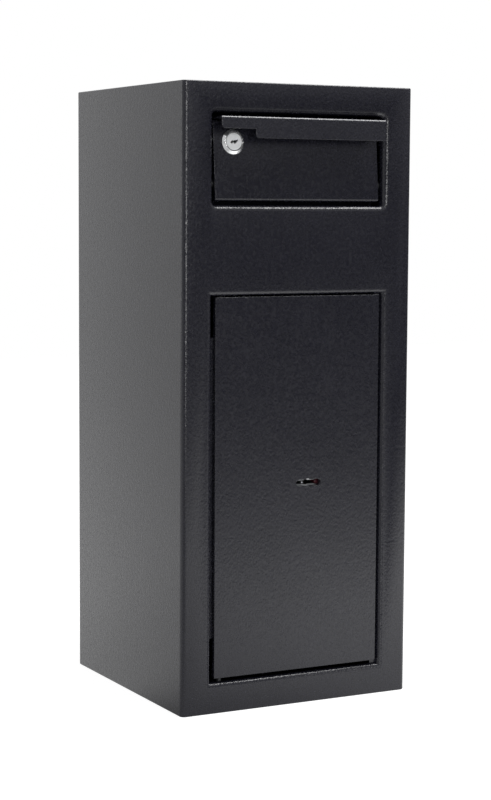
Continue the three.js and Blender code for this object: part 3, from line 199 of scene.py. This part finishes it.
def makeWorld():
    # the camera sees white; gloss sees the larger of a fade from the backdrop's side and one upwards
    world = bpy.data.worlds.new("studio")
    bpy.context.scene.world = world
    world.use_nodes = True
    tree = world.node_tree
    tree.nodes.clear()
    way = addNode(tree, "ShaderNodeTexCoord").outputs["Generated"]
    height = addNode(tree, "ShaderNodeSeparateXYZ")
    link(tree, way, height.inputs[0])
    sky = faded(tree, height.outputs["Z"], studio["skyStart"], studio["skyEnd"], 0, studio["skyLevel"])
    level = calculated(tree, "MAXIMUM", towardsBackdrop(tree, way), sky)
    path = addNode(tree, "ShaderNodeLightPath")
    reflects = calculated(tree, "MAXIMUM", path.outputs["Is Glossy Ray"], path.outputs["Is Transmission Ray"])
    unseen = mixShaders(tree, reflects, background(tree, studio["ambientLevel"]), background(tree, level))
    seen = background(tree, studio["cameraLevel"])
    output = addNode(tree, "ShaderNodeOutputWorld")
    link(tree, mixShaders(tree, path.outputs["Is Camera Ray"], unseen, seen), output.inputs[0])


def diffuse(tree, level):
    node = addNode(tree, "ShaderNodeBsdfDiffuse")
    node.inputs["Color"].default_value = (level, level, level, 1)
    return node.outputs[0]


def floorMaterial():
    # the camera sees a near white floor with a faint shadow; gloss sees the larger of a painted pool of light and
    # the fade that the world has
    material = bpy.data.materials.new("pale_floor")
    material.use_nodes = True
    tree = material.node_tree
    tree.nodes.clear()
    path = addNode(tree, "ShaderNodeLightPath")
    place = addNode(tree, "ShaderNodeTexCoord").outputs["Object"]
    reach = addNode(tree, "ShaderNodeVectorMath", operation="DISTANCE")
    link(tree, place, reach.inputs[0])
    reach.inputs[1].default_value = studio["poolPlace"]
    # the pool is painted light: an emission brightest at poolPlace, in place of a lamp on the floor
    pool = faded(tree, reach.outputs["Value"], 0, studio["poolRadius"], studio["poolLevel"], 0)
    fade = calculated(tree, "MULTIPLY", towardsBackdrop(tree, place), studio["floorShare"])
    level = addNode(tree, "ShaderNodeMix", data_type="FLOAT")
    link(tree, path.outputs["Is Glossy Ray"], level.inputs["Factor"])
    level.inputs["A"].default_value = studio["floorGlow"]
    link(tree, calculated(tree, "MAXIMUM", pool, fade), level.inputs["B"])
    glow = addNode(tree, "ShaderNodeEmission")
    link(tree, level.outputs["Result"], glow.inputs["Strength"])
    glowing = addNode(tree, "ShaderNodeAddShader")
    link(tree, diffuse(tree, studio["floorShade"]), glowing.inputs[0])
    link(tree, glow.outputs[0], glowing.inputs[1])
    direct = calculated(tree, "MAXIMUM", path.outputs["Is Camera Ray"], path.outputs["Is Glossy Ray"])
    seen = calculated(tree, "MAXIMUM", direct, path.outputs["Is Transmission Ray"])
    plain = diffuse(tree, studio["floorPlain"])
    output = addNode(tree, "ShaderNodeOutputMaterial")
    link(tree, mixShaders(tree, seen, plain, glowing.outputs[0]), output.inputs[0])
    return material


def makeFloor():
    half = studio["floorSize"] / 2
    mesh = bpy.data.meshes.new("floor")
    corners = np.array([(-half, -half, 0), (half, -half, 0), (half, half, 0), (-half, half, 0)])
    mesh.from_pydata(corners.tolist(), [], [(0, 1, 2, 3)])
    floor = bpy.data.objects.new("floor", mesh)
    floor.data.materials.append(floorMaterial())
    bpy.context.scene.collection.objects.link(floor)


def makeStudio():
    bpy.context.scene.view_settings.view_transform = "Standard"
    makeWorld()
    makeFloor()
    for name, lamp in lamps.items():
        areaLight(name, **lamp)


makeStudio()
print("stage: studio made")


# What the finishes share

noiseRange = (0.3, 0.7)    # where most of a noise node's values lie
mixColourSockets = {"first": 6, "second": 7, "result": 2}    # a Mix node's sockets for colours


def newMaterial(name):
    material = bpy.data.materials.new(name)
    material.use_nodes = True
    tree = material.node_tree
    place = addNode(tree, "ShaderNodeTexCoord").outputs["Object"]
    return material, tree, tree.nodes["Principled BSDF"], place


def noise(tree, coordinate, size, detail):
    # size is the real width of one blotch, in metres
    node = addNode(tree, "ShaderNodeTexNoise")
    node.inputs["Scale"].default_value = 1 / size
    node.inputs["Detail"].default_value = detail
    link(tree, coordinate, node.inputs["Vector"])
    return node.outputs["Fac"]


def between(tree, value, low, high):
    # a noise's value brought to lie between low and high
    return rescaled(tree, value, *noiseRange, low, high)


def mixColours(tree, share, first, second):
    # second is red, green and blue, and first is that or a socket
    node = addNode(tree, "ShaderNodeMix", data_type="RGBA")
    link(tree, share, node.inputs["Factor"])
    plain = (*first, 1) if isinstance(first, tuple) else first
    feed(tree, plain, node.inputs[mixColourSockets["first"]])
    feed(tree, (*second, 1), node.inputs[mixColourSockets["second"]])
    return node.outputs[mixColourSockets["result"]]


def bump(tree, height, depth, normal=None):
    # depth is in metres; normal is the surface that the bump lies on, where there is one
    node = addNode(tree, "ShaderNodeBump")
    node.inputs["Distance"].default_value = depth
    link(tree, height, node.inputs["Height"])
    if normal is not None:
        link(tree, normal, node.inputs["Normal"])
    return node.outputs["Normal"]


# Powder coat

coat = {
    "dark": (0.0092, 0.0092, 0.0148), "light": (0.0118, 0.0118, 0.0178),
    "blotchSize": 0.05, "blotchDetail": 2,
    "smooth": 0.18, "rough": 0.33, "sheenSize": 0.0032, "sheenDetail": 3,
    "peelSize": 0.0015, "peelDepth": 0.00021, "grainSize": 0.0008, "grainDepth": 0.00008,
    "grainDetail": 1, "runScale": 0.6,    # under 1, so that the grain is drawn out downwards
}


def powderCoat():
    # colour drifts over blotches; the surface is an orange peel with a finer grain on it
    material, tree, shader, place = newMaterial("charcoal_powder_coat")
    drift = between(tree, noise(tree, place, coat["blotchSize"], coat["blotchDetail"]), 0, 1)
    link(tree, mixColours(tree, drift, coat["dark"], coat["light"]), shader.inputs["Base Color"])
    sheen = noise(tree, place, coat["sheenSize"], coat["sheenDetail"])
    link(tree, between(tree, sheen, coat["smooth"], coat["rough"]), shader.inputs["Roughness"])
    run = addNode(tree, "ShaderNodeMapping")
    link(tree, place, run.inputs["Vector"])
    run.inputs["Scale"].default_value = (1, 1, coat["runScale"])
    grainPlace = run.outputs["Vector"]
    peel = bump(tree, noise(tree, grainPlace, coat["peelSize"], coat["grainDetail"]), coat["peelDepth"])
    grain = noise(tree, grainPlace, coat["grainSize"], coat["grainDetail"])
    link(tree, bump(tree, grain, coat["grainDepth"], peel), shader.inputs["Normal"])
    return material


# Chrome of the drawer's lock

# the black that both finishes take in recesses is painted shade
bezelFinish = {"colour": (0.86, 0.87, 0.88), "metallic": 0.96, "smooth": 0.10, "rough": 0.18,
               "lineSize": 0.003, "lineDetail": 3, "lineDepth": 0.000004, "recessShade": (0.004, 0.004, 0.004)}
plugFinish = {"colour": (0.86, 0.87, 0.88), "metallic": 0.55, "smooth": 0.38, "rough": 0.5,
              "lineSize": 0.0006, "lineDetail": 3, "lineDepth": 0.000008, "recessShade": (0.004, 0.004, 0.004)}


def lockChrome(name, finish):
    # chrome that turns to black where the mesh's recess attribute is 1: painted shade in the lock's groove and
    # keyway
    material, tree, shader, place = newMaterial(name)
    recess = addNode(tree, "ShaderNodeAttribute", attribute_name="recess").outputs["Fac"]
    link(tree, mixColours(tree, recess, finish["colour"], finish["recessShade"]), shader.inputs["Base Color"])
    link(tree, faded(tree, recess, 0, 1, finish["metallic"], 0), shader.inputs["Metallic"])
    lines = noise(tree, place, finish["lineSize"], finish["lineDetail"])
    link(tree, between(tree, lines, finish["smooth"], finish["rough"]), shader.inputs["Roughness"])
    link(tree, bump(tree, lines, finish["lineDepth"]), shader.inputs["Normal"])
    return material


# Zinc plate

zinc = {"dark": (0.44, 0.45, 0.48), "light": (0.58, 0.59, 0.60), "spotSize": 0.006, "spotDetail": 3,
        "smooth": 0.28, "rough": 0.45, "grainSize": 0.0008, "grainDetail": 2, "grainDepth": 0.000006}


def zincPlate(name="zinc_plate"):
    material, tree, shader, place = newMaterial(name)
    spots = between(tree, noise(tree, place, zinc["spotSize"], zinc["spotDetail"]), 0, 1)
    link(tree, mixColours(tree, spots, zinc["dark"], zinc["light"]), shader.inputs["Base Color"])
    shader.inputs["Metallic"].default_value = 1.0
    link(tree, rescaled(tree, spots, 0, 1, zinc["smooth"], zinc["rough"]), shader.inputs["Roughness"])
    grain = noise(tree, place, zinc["grainSize"], zinc["grainDetail"])
    link(tree, bump(tree, grain, zinc["grainDepth"]), shader.inputs["Normal"])
    return material


# the colour of the painted shade inside the keyhole's slot, and how far it takes to fade in
slotShade = {"colour": (0.012, 0.011, 0.010), "edge": 0.0012}


def zincWithPaintedShade(start):
    # zinc that turns dark over a short way behind the distance start along Y: painted shade inside the keyhole's
    # slot
    material = zincPlate("zinc_painted_shade")
    tree = material.node_tree
    baseColour = tree.nodes["Principled BSDF"].inputs["Base Color"]
    bright = baseColour.links[0].from_socket
    depth = addNode(tree, "ShaderNodeSeparateXYZ")
    link(tree, addNode(tree, "ShaderNodeTexCoord").outputs["Object"], depth.inputs[0])
    inside = faded(tree, depth.outputs["Y"], start, start + slotShade["edge"], 0, 1)
    link(tree, mixColours(tree, inside, bright, slotShade["colour"]), baseColour)
    return material


# Turned bright steel

turning = {
    "colour": (0.62, 0.63, 0.65), "roughness": 0.26,
    "ringSize": 0.0009,    # two pi of these from one ring to the next
    "ringDepth": 0.000012, "waver": 0.6,
    "waveFactor": 20,      # what a Wave node multiplies its scale by
}


def turnedSteel():
    # rings of a lathe tool round the X axis
    material, tree, shader, place = newMaterial("turned_steel")
    shader.inputs["Base Color"].default_value = (*turning["colour"], 1)
    shader.inputs["Metallic"].default_value = 1.0
    shader.inputs["Roughness"].default_value = turning["roughness"]
    rings = addNode(tree, "ShaderNodeTexWave", bands_direction="X")
    rings.inputs["Scale"].default_value = 1 / turning["ringSize"] / turning["waveFactor"]
    rings.inputs["Distortion"].default_value = turning["waver"]
    link(tree, place, rings.inputs["Vector"])
    link(tree, bump(tree, rings.outputs["Fac"], turning["ringDepth"]), shader.inputs["Normal"])
    return material


# Dull dark steel

dull = {"dark": (0.055, 0.056, 0.06), "light": (0.085, 0.086, 0.09), "spotSize": 0.003, "spotDetail": 4,
        "metallic": 0.7, "roughness": 0.5, "grainDepth": 0.00002}


def darkSteel():
    material, tree, shader, place = newMaterial("dark_steel")
    spots = noise(tree, place, dull["spotSize"], dull["spotDetail"])
    spotted = mixColours(tree, between(tree, spots, 0, 1), dull["dark"], dull["light"])
    link(tree, spotted, shader.inputs["Base Color"])
    shader.inputs["Metallic"].default_value = dull["metallic"]
    shader.inputs["Roughness"].default_value = dull["roughness"]
    link(tree, bump(tree, spots, dull["grainDepth"]), shader.inputs["Normal"])
    return material


# Dark red plastic

plastic = {"dark": (0.040, 0.0035, 0.008), "light": (0.062, 0.005, 0.011), "spotSize": 0.004,
           "spotDetail": 2, "roughness": 0.38, "grainSize": 0.0005, "grainDetail": 1,
           "grainDepth": 0.000008}


def redPlastic():
    material, tree, shader, place = newMaterial("dark_red_plastic")
    spots = between(tree, noise(tree, place, plastic["spotSize"], plastic["spotDetail"]), 0, 1)
    link(tree, mixColours(tree, spots, plastic["dark"], plastic["light"]), shader.inputs["Base Color"])
    shader.inputs["Roughness"].default_value = plastic["roughness"]
    grain = noise(tree, place, plastic["grainSize"], plastic["grainDetail"])
    link(tree, bump(tree, grain, plastic["grainDepth"]), shader.inputs["Normal"])
    return material


finishes = {
    "black_coat": powderCoat(),
    "chrome_plate": lockChrome("polished_bezel", bezelFinish),
    "zinc_steel": zincPlate(),
    "bright_bolt": turnedSteel(),
    "dark_steel": darkSteel(),
    "red_plastic": redPlastic(),
}
print("stage: finishes made")


# What the pieces share

nodeSlots = {row["node"]: row["material_slot"] for row in frame["record"]["subparts"]}
nodeBodies = {node: body for body, nodes in frame["record"]["behaviour"]["bodies"].items()
              for node in nodes}
turnedNodes = []


def takeOver(piece, node):
    # the piece stands for the node, moves with its body and takes its finish
    piece.data.materials.clear()
    piece.data.materials.append(finishes[nodeSlots[node]])
    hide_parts(node)
    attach(piece, nodeBodies[node])


def spanOf(node, axis):
    # the middle of the node's box at its low end along the axis, and its length in millimetres
    low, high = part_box(node)
    start = (low + high) / 2
    start[axis] = low[axis]
    return start, (high[axis] - low[axis]) / millimetre


def softStep(value, width):
    # 0 below 0, 1 above width, and 3x^2 - 2x^3 between
    x = np.clip(value / width, 0, 1)
    return x * x * (3 - 2 * x)


# Turned pieces: a profile of (radius, distance) corners in millimetres is carried round an axis

lathe = {
    "coarse": 48, "fine": 96, "face": 240,    # steps round the axis
    "cornerPoints": 5,
    "cutShare": 0.4,                          # the most of an edge that a rounded corner may take
    "uprightShare": 0.9,                      # an axis that rises more than this counts as upright
    "mergeDistance": 0.0000005,
    "smoothAngle": math.radians(40),
}


def roundedCorners(corners, radius):
    # each inner corner C gives way to (1-t)^2 (C + c back) + 2t (1-t) C + t^2 (C + c ahead)
    corners = np.asarray(corners, float)
    inner = corners[1:-1]
    back, ahead = corners[:-2] - inner, corners[2:] - inner
    backLength, aheadLength = (np.linalg.norm(way, axis=1, keepdims=True) for way in (back, ahead))
    cut = np.minimum(radius, lathe["cutShare"] * np.minimum(backLength, aheadLength))
    first, last = inner + cut * back / backLength, inner + cut * ahead / aheadLength
    t = np.linspace(0, 1, lathe["cornerPoints"])[None, :, None]
    curve = (1 - t) ** 2 * first[:, None] + 2 * t * (1 - t) * inner[:, None] + t ** 2 * last[:, None]
    return np.concatenate([corners[:1], curve.reshape(-1, 2), corners[-1:]])


def closeSpaced(profile, step):
    # the same line with points no further apart than step, each to a thousandth of a millimetre
    length = np.concatenate([[0], np.cumsum(np.linalg.norm(np.diff(profile, axis=0), axis=1))])
    places = np.unique(np.concatenate([length, np.arange(0, length[-1], step)]).round(3))
    return np.stack([np.interp(places, length, profile[:, i]) for i in range(2)], axis=1)


def axesRound(axis):
    # the two directions that stand square to the axis, with upward as near to Z as it can be
    upright = abs(axis[2]) >= lathe["uprightShare"]
    upward = np.array((0.0, 1.0, 0.0)) if upright else np.array((0.0, 0.0, 1.0))
    upward -= upward.dot(axis) * axis
    upward /= np.linalg.norm(upward)
    return np.cross(axis, upward), upward


def turnedMesh(name, profile, steps, start, axis, shape):
    # P(s, a) = start + h(s) axis + r(s) (cos a side + sin a upward), once shape has changed all three
    side, upward = axesRound(axis)
    angle = np.linspace(0, 2 * np.pi, steps, endpoint=False)[None, :]
    radius, along = profile[:, :1], profile[:, 1:] + 0 * angle
    across, rise = radius * np.cos(angle), radius * np.sin(angle)
    if shape is not None:
        across, rise, along = shape(across, rise, along)
    points = along[..., None] * axis + across[..., None] * side + rise[..., None] * upward
    points = points.reshape(-1, 3) * millimetre + np.asarray(start, float)
    row, column = np.indices((len(profile) - 1, steps))
    here, beside = row * steps + column, row * steps + (column + 1) % steps
    faces = np.stack([here, beside, beside + steps, here + steps], axis=-1).reshape(-1, 4)
    mesh = bpy.data.meshes.new(name)
    mesh.from_pydata(points.tolist(), [], faces.tolist())
    return mesh


def turnedPiece(node, profile, steps, start, axis, shape=None):
    # shape takes the arrays across, rise and along, in millimetres, and gives them back changed
    mesh = turnedMesh(node, profile, steps, start, np.asarray(axis, float), shape)
    shell = bmesh.new()
    shell.from_mesh(mesh)
    bmesh.ops.remove_doubles(shell, verts=shell.verts, dist=lathe["mergeDistance"])
    bmesh.ops.dissolve_degenerate(shell, edges=shell.edges, dist=lathe["mergeDistance"])
    bmesh.ops.recalc_face_normals(shell, faces=shell.faces)
    shell.to_mesh(mesh)
    shell.free()
    mesh.shade_smooth()
    mesh.set_sharp_from_angle(angle=lathe["smoothAngle"])
    piece = bpy.data.objects.new(node + "_turned", mesh)
    bpy.context.scene.collection.objects.link(piece)
    takeOver(piece, node)
    turnedNodes.append(node)
    return piece


# Lock bolts: a riveted tail, a shoulder and a bevelled tip

bolt = {"radius": 7.0, "rivetRadius": 5.5, "rivetLength": 2.0, "tailRadius": 4.0, "shoulder": 5.1,
        "tipBevel": 2.0, "rounding": 0.5}


def makeBolts():
    for node in ("lock_bolt_1", "lock_bolt_2", "lock_bolt_3"):
        start, length = spanOf(node, 0)
        corners = [(0, 0), (bolt["rivetRadius"], 0), (bolt["rivetRadius"], bolt["rivetLength"]),
                   (bolt["tailRadius"], bolt["rivetLength"]), (bolt["tailRadius"], bolt["shoulder"]),
                   (bolt["radius"], bolt["shoulder"]), (bolt["radius"], length - bolt["tipBevel"]),
                   (bolt["radius"] - bolt["tipBevel"], length), (0, length)]
        turnedPiece(node, roundedCorners(corners, bolt["rounding"]), lathe["fine"], start, (1, 0, 0))


# Guide studs: a foot, a neck and a flat head

stud = {"footRadius": 5.0, "neckRadius": 3.0, "headRadius": 5.5, "headHeight": 1.8, "neckLength": 3.1,
        "rounding": 0.6}


def makeStuds():
    for node in ("guide_stud_1", "guide_stud_2"):
        start, length = spanOf(node, 1)
        head = length - stud["headHeight"]
        neck = head - stud["neckLength"]
        corners = [(0, 0), (stud["footRadius"], 0), (stud["footRadius"], neck),
                   (stud["neckRadius"], neck), (stud["neckRadius"], head), (stud["headRadius"], head),
                   (stud["headRadius"], length), (0, length)]
        turnedPiece(node, roundedCorners(corners, stud["rounding"]), lathe["coarse"], start, (0, 1, 0))


# Hinge pins: a dull dark pin with a head that sits on the bracket

pin = {"radius": 2.5, "headRadius": 4.0, "headHeight": 2.0, "rounding": 0.5}


def makeHingePins():
    for node, headAbove in (("hinge_pin_upper", True), ("hinge_pin_lower", False)):
        start, length = spanOf(node, 2)
        neck = length - pin["headHeight"]
        corners = np.array([(0, 0), (pin["radius"], 0), (pin["radius"], neck),
                            (pin["headRadius"], neck), (pin["headRadius"], length), (0, length)])
        if not headAbove:
            corners = corners[::-1] * (1, -1) + (0, length)
        profile = roundedCorners(corners, pin["rounding"])
        piece = turnedPiece(node, profile, lathe["coarse"], start, (0, 0, 1))
        piece.data.materials[0] = finishes["dark_steel"]


# Cover screws: a rounded head with a cross recess

crossScrew = {"shankRadius": 1.9, "headRadius": 3.8, "headHeight": 2.0, "armHalf": 0.45, "armReach": 2.1,
              "recessDepth": 1.3, "recessEdge": 0.3, "step": 0.16, "rounding": 0.9}


def crossArm(width, length):
    # 1 where |width| is within the arm's half width and |length| within its reach, with soft edges
    edge = crossScrew["recessEdge"]
    return (softStep(crossScrew["armHalf"] + edge - np.abs(width), edge)
            * softStep(crossScrew["armReach"] - np.abs(length), edge))


def crossRecess(across, rise, along, face):
    # the head sinks by the recess's depth wherever either arm is
    inArm = np.maximum(crossArm(across, rise), crossArm(rise, across))
    onHead = along > face - crossScrew["headHeight"] / 2
    return across, rise, along - onHead * inArm * crossScrew["recessDepth"]


def makeScrews():
    for number in range(1, 5):
        start, length = spanOf(f"cover_screw_{number}", 1)
        seat = length - crossScrew["headHeight"]
        corners = [(0, 0), (crossScrew["shankRadius"], 0), (crossScrew["shankRadius"], seat),
                   (crossScrew["headRadius"], seat), (crossScrew["headRadius"], length), (0, length)]
        profile = closeSpaced(roundedCorners(corners, crossScrew["rounding"]), crossScrew["step"])
        turnedPiece(f"cover_screw_{number}", profile, lathe["fine"], start, (0, 1, 0),
                    lambda across, rise, along: crossRecess(across, rise, along, length))


# Drawer lock: a bevelled bezel on a threaded barrel with two flats, round a plug with a keyway

drawerLock = {
    "front": -9.2,    # the panel's front along the axis
    "bezelRadius": 11.9, "faceRadius": 9.2, "height": 3.4, "rimHeight": 0.9, "gap": 0.3,
    "barrelRadius": 9.3, "barrelFlat": 7.9, "barrelLength": 11.2, "flatStart": 4.5,
    "threadPitch": 1.0, "threadDepth": 0.35, "threadStart": 1.8, "threadRoom": 0.01,
    "bore": 7.3, "counterbore": 8.8, "recess": 0.3, "paintedShadeStart": 0.35,
    "plugRadius": 7.0, "plugHeadRadius": 8.15, "headThickness": 1.8, "tailHalf": 3.5, "tailLength": 2.3,
    "keywayLength": 7.8, "keywayHeight": 4.4, "keywayDepth": 4.5,
    "rounding": 0.35, "step": 0.14,
}
keywayShares = np.array([    # the zigzag keyway's corners, as shares of its length and height
    (-0.5, -0.25), (-0.35, -0.45), (-0.15, -0.3), (-0.08, -0.05), (0.0, -0.5), (0.15, -0.45), (0.5, 0.15),
    (0.45, 0.5), (0.2, 0.25), (0.05, 0.35), (-0.05, 0.1), (-0.2, 0.3), (-0.38, 0.15)])
levelEdgeRoom = 1e-12    # keeps an outline's level edge from a division by zero


def lockPlace():
    # a point on the lock's axis, and the way that the axis runs into the drawer
    turn = next(joint for joint in frame["joints"] if joint["name"] == "drawer_lock_turn")
    return turn["pos_m"], turn["axis"]


def lockLevels():
    # along the axis: the bezel's seat and face, the plug's face, and the end of the barrel
    seat = drawerLock["front"] - drawerLock["gap"]
    face = seat - drawerLock["height"]
    return seat, face, face + drawerLock["recess"], drawerLock["front"] + drawerLock["barrelLength"]


def threadAndFlats(across, rise, along):
    # the barrel's radius sinks by depth (1 - cos(2 pi h / pitch - a)) / 2, and |x| stays within the flats
    radius = np.hypot(across, rise)
    angle = np.arctan2(rise, across)
    seat = lockLevels()[0]
    outside = np.isclose(radius, drawerLock["barrelRadius"], atol=drawerLock["threadRoom"])
    wave = (1 - np.cos(2 * np.pi * along / drawerLock["threadPitch"] - angle)) / 2
    threaded = outside * softStep(along - seat - drawerLock["threadStart"], drawerLock["threadPitch"])
    scale = 1 - threaded * wave * drawerLock["threadDepth"] / radius
    across, rise = across * scale, rise * scale
    flat = np.where(along > seat + drawerLock["flatStart"], drawerLock["barrelFlat"], np.inf)
    return np.clip(across, -flat, flat), rise, along


def insideOutline(x, y, outline):
    # even-odd rule: a point is inside when a ray to the right crosses the outline an odd number of times
    ends = np.roll(outline, -1, axis=0)
    inside = np.zeros(np.broadcast(x, y).shape, bool)
    for (x0, y0), (x1, y1) in zip(outline, ends):
        crosses = (y0 > y) != (y1 > y)
        inside ^= crosses & (x < x0 + (y - y0) * (x1 - x0) / (y1 - y0 + levelEdgeRoom))
    return inside


def keywayAndTail(across, rise, along):
    # the face drops by the keyway's depth inside its outline; the tail is clipped to a square
    plugFace, end = lockLevels()[2:]
    outline = keywayShares * (drawerLock["keywayLength"], drawerLock["keywayHeight"])
    onFace = along < plugFace + drawerLock["step"]
    along = along + drawerLock["keywayDepth"] * (onFace & insideOutline(across, rise, outline))
    half = np.where(along > end, drawerLock["tailHalf"], np.inf)
    return np.clip(across, -half, half), np.clip(rise, -half, half), along


def markRecess(piece, start, axis, level, radius):
    # the recess attribute is 1 at points nearer the axis than radius that lie deeper than level, and marks where
    # the chrome is painted black as shade
    mesh = piece.data
    points = np.empty(len(mesh.vertices) * 3)
    mesh.vertices.foreach_get("co", points)
    points = (points.reshape(-1, 3) - start) / millimetre
    along = points @ np.asarray(axis, float)
    reach = np.linalg.norm(points - along[:, None] * np.asarray(axis, float), axis=1)
    marks = mesh.attributes.new("recess", "FLOAT", "POINT")
    marks.data.foreach_set("value", ((along > level) & (reach < radius)).astype(float))


def makeLockHousing():
    values = drawerLock
    start, axis = lockPlace()
    seat, face, plugFace, end = lockLevels()
    floor = plugFace + values["headThickness"] + values["gap"]
    corners = [(values["bore"], floor), (values["counterbore"], floor), (values["counterbore"], face),
               (values["faceRadius"], face), (values["bezelRadius"], seat - values["rimHeight"]),
               (values["bezelRadius"], seat), (values["barrelRadius"], seat),
               (values["barrelRadius"], end), (values["bore"], end), (values["bore"], floor)]
    profile = closeSpaced(roundedCorners(corners, values["rounding"]), values["step"])
    housing = turnedPiece("cam_lock_housing", profile, lathe["fine"], start, axis, threadAndFlats)
    # the groove round the plug and the bore are painted black as shade
    markRecess(housing, start, axis, face + values["paintedShadeStart"],
               values["counterbore"] + values["gap"] / 2)


def makeLockPlug():
    values = drawerLock
    start, axis = lockPlace()
    plugFace, end = lockLevels()[2:]
    rim = values["plugHeadRadius"] - values["rounding"]
    neck = plugFace + values["headThickness"]
    tail = end + values["tailLength"]
    disc = closeSpaced(np.array([(0, plugFace), (rim, plugFace)]), values["step"])
    corners = [(rim, plugFace), (values["plugHeadRadius"], plugFace), (values["plugHeadRadius"], neck),
               (values["plugRadius"], neck), (values["plugRadius"], end),
               (values["plugRadius"], end + values["gap"] / 2), (values["plugRadius"], tail), (0, tail)]
    profile = np.concatenate([disc[:-1], roundedCorners(corners, values["rounding"])])
    plug = turnedPiece("cam_lock_plug", profile, lathe["face"], start, axis, keywayAndTail)
    # the keyway and the plug behind its face are painted black as shade
    markRecess(plug, start, axis, plugFace + values["paintedShadeStart"], np.inf)
    plug.data.materials[0] = lockChrome("satin_plug", plugFinish)


camScrew = {"radius": 4.2, "height": 2.4, "rounding": 1.0}


def makeCamScrew():
    start, axis = lockPlace()
    seat = lockLevels()[-1] + drawerLock["tailLength"] + drawerLock["gap"]
    head = seat + camScrew["height"]
    corners = [(0, seat), (camScrew["radius"], seat), (camScrew["radius"], head), (0, head)]
    profile = closeSpaced(roundedCorners(corners, camScrew["rounding"]), crossScrew["step"])
    turnedPiece("cam_lock_screw", profile, lathe["fine"], start, axis,
                lambda across, rise, along: crossRecess(across, rise, along, head))


# Keyhole: the bright ward pin and the dark red key guide, both with rounded ends

keyPins = {"ward_pin": 0.5, "key_guide": 1.2}    # how far each end is rounded, in millimetres


def makeKeyPins():
    for node, rounding in keyPins.items():
        start, length = spanOf(node, 1)
        low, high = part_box(node)
        radius = (high[0] - low[0]) / 2 / millimetre
        corners = [(0, 0), (radius, 0), (radius, length), (0, length)]
        turnedPiece(node, roundedCorners(corners, rounding), lathe["coarse"], start, (0, 1, 0))


makeBolts()
makeStuds()
makeHingePins()
makeScrews()
makeLockHousing()
makeLockPlug()
makeCamScrew()
makeKeyPins()
print("stage: turned pieces made:", len(turnedNodes))


# The cabinet's rims

rims = {
    "front": -0.1155, "inner": 0.085, "outer": 0.1006,    # what of the wrap counts as a side rim
    "shift": 0.0019,                                      # how far the rims stand in, for narrow gaps
    "hingeTop": 0.41, "easeStart": -0.1195,               # where the leaf swings past the rim
    "hingeShift": 0.0013, "easeShift": 0.0003,
}


def moveRims(points):
    # the side rims move inwards by shift; beside the door's hinges it is less and eases off with depth
    x, y, z = points.T
    inRim = (y < rims["front"]) & (np.abs(x) > rims["inner"]) & (np.abs(x) < rims["outer"])
    eased = np.interp(y, (rims["easeStart"], rims["front"]), (rims["hingeShift"], rims["easeShift"]))
    shift = np.where((x < 0) & (z < rims["hingeTop"]), eased, rims["shift"])
    points[:, 0] = x - inRim * np.sign(x) * shift
    return points


# Pieces that keep the frame's own surface

refining = {
    "mergeDistance": 0.000002,
    "flatAngle": math.radians(0.4),       # faces closer than this to flat are joined
    "smoothAngle": math.radians(33),      # edges softer than this are shaded smooth
    "edgeWidth": 0.00022,                 # the small break along sheared and sawn edges
    "edgeSegments": 2,
}
edgeWidths = {"drawer_front": 0.0005, "handle_lip": 0.0005, "door_leaf": 0.0004, "cam_lock_cam": 0.0003,
              "key_carrier": 0.0004, "lock_case": 0.0006}    # pieces with a wider break


def refinedMesh(node):
    # a copy of the node's surface with merged points, joined flats and smooth bends
    mesh = frame["nodes"][node].data.copy()
    mesh.name = node
    if node == "cabinet_wrap":
        points = np.empty(len(mesh.vertices) * 3)
        mesh.vertices.foreach_get("co", points)
        mesh.vertices.foreach_set("co", moveRims(points.reshape(-1, 3)).ravel())
    shape = bmesh.new()
    shape.from_mesh(mesh)
    bmesh.ops.remove_doubles(shape, verts=shape.verts, dist=refining["mergeDistance"])
    bmesh.ops.dissolve_limit(shape, angle_limit=refining["flatAngle"], verts=shape.verts, edges=shape.edges)
    shape.to_mesh(mesh)
    shape.free()
    mesh.shade_smooth()
    mesh.set_sharp_from_angle(angle=refining["smoothAngle"])
    return mesh


def refinedPiece(node):
    piece = bpy.data.objects.new(node + "_surface", refinedMesh(node))
    bpy.context.scene.collection.objects.link(piece)
    bevel = piece.modifiers.new("broken_edges", "BEVEL")
    bevel.width = edgeWidths.get(node, refining["edgeWidth"])
    bevel.segments = refining["edgeSegments"]
    bevel.limit_method = "ANGLE"
    bevel.angle_limit = refining["smoothAngle"]
    bevel.use_clamp_overlap = False
    bevel.harden_normals = True
    takeOver(piece, node)
    return piece


for node in sorted(set(frame["nodes"]) - set(turnedNodes)):
    piece = refinedPiece(node)
    # the key carrier's front stays bright zinc, and all that lies deeper is painted dark as shade inside the slot
    if node == "key_carrier":
        piece.data.materials[0] = zincWithPaintedShade(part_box(node)[0][1] + refining["edgeWidth"])
print("stage: pieces refined")
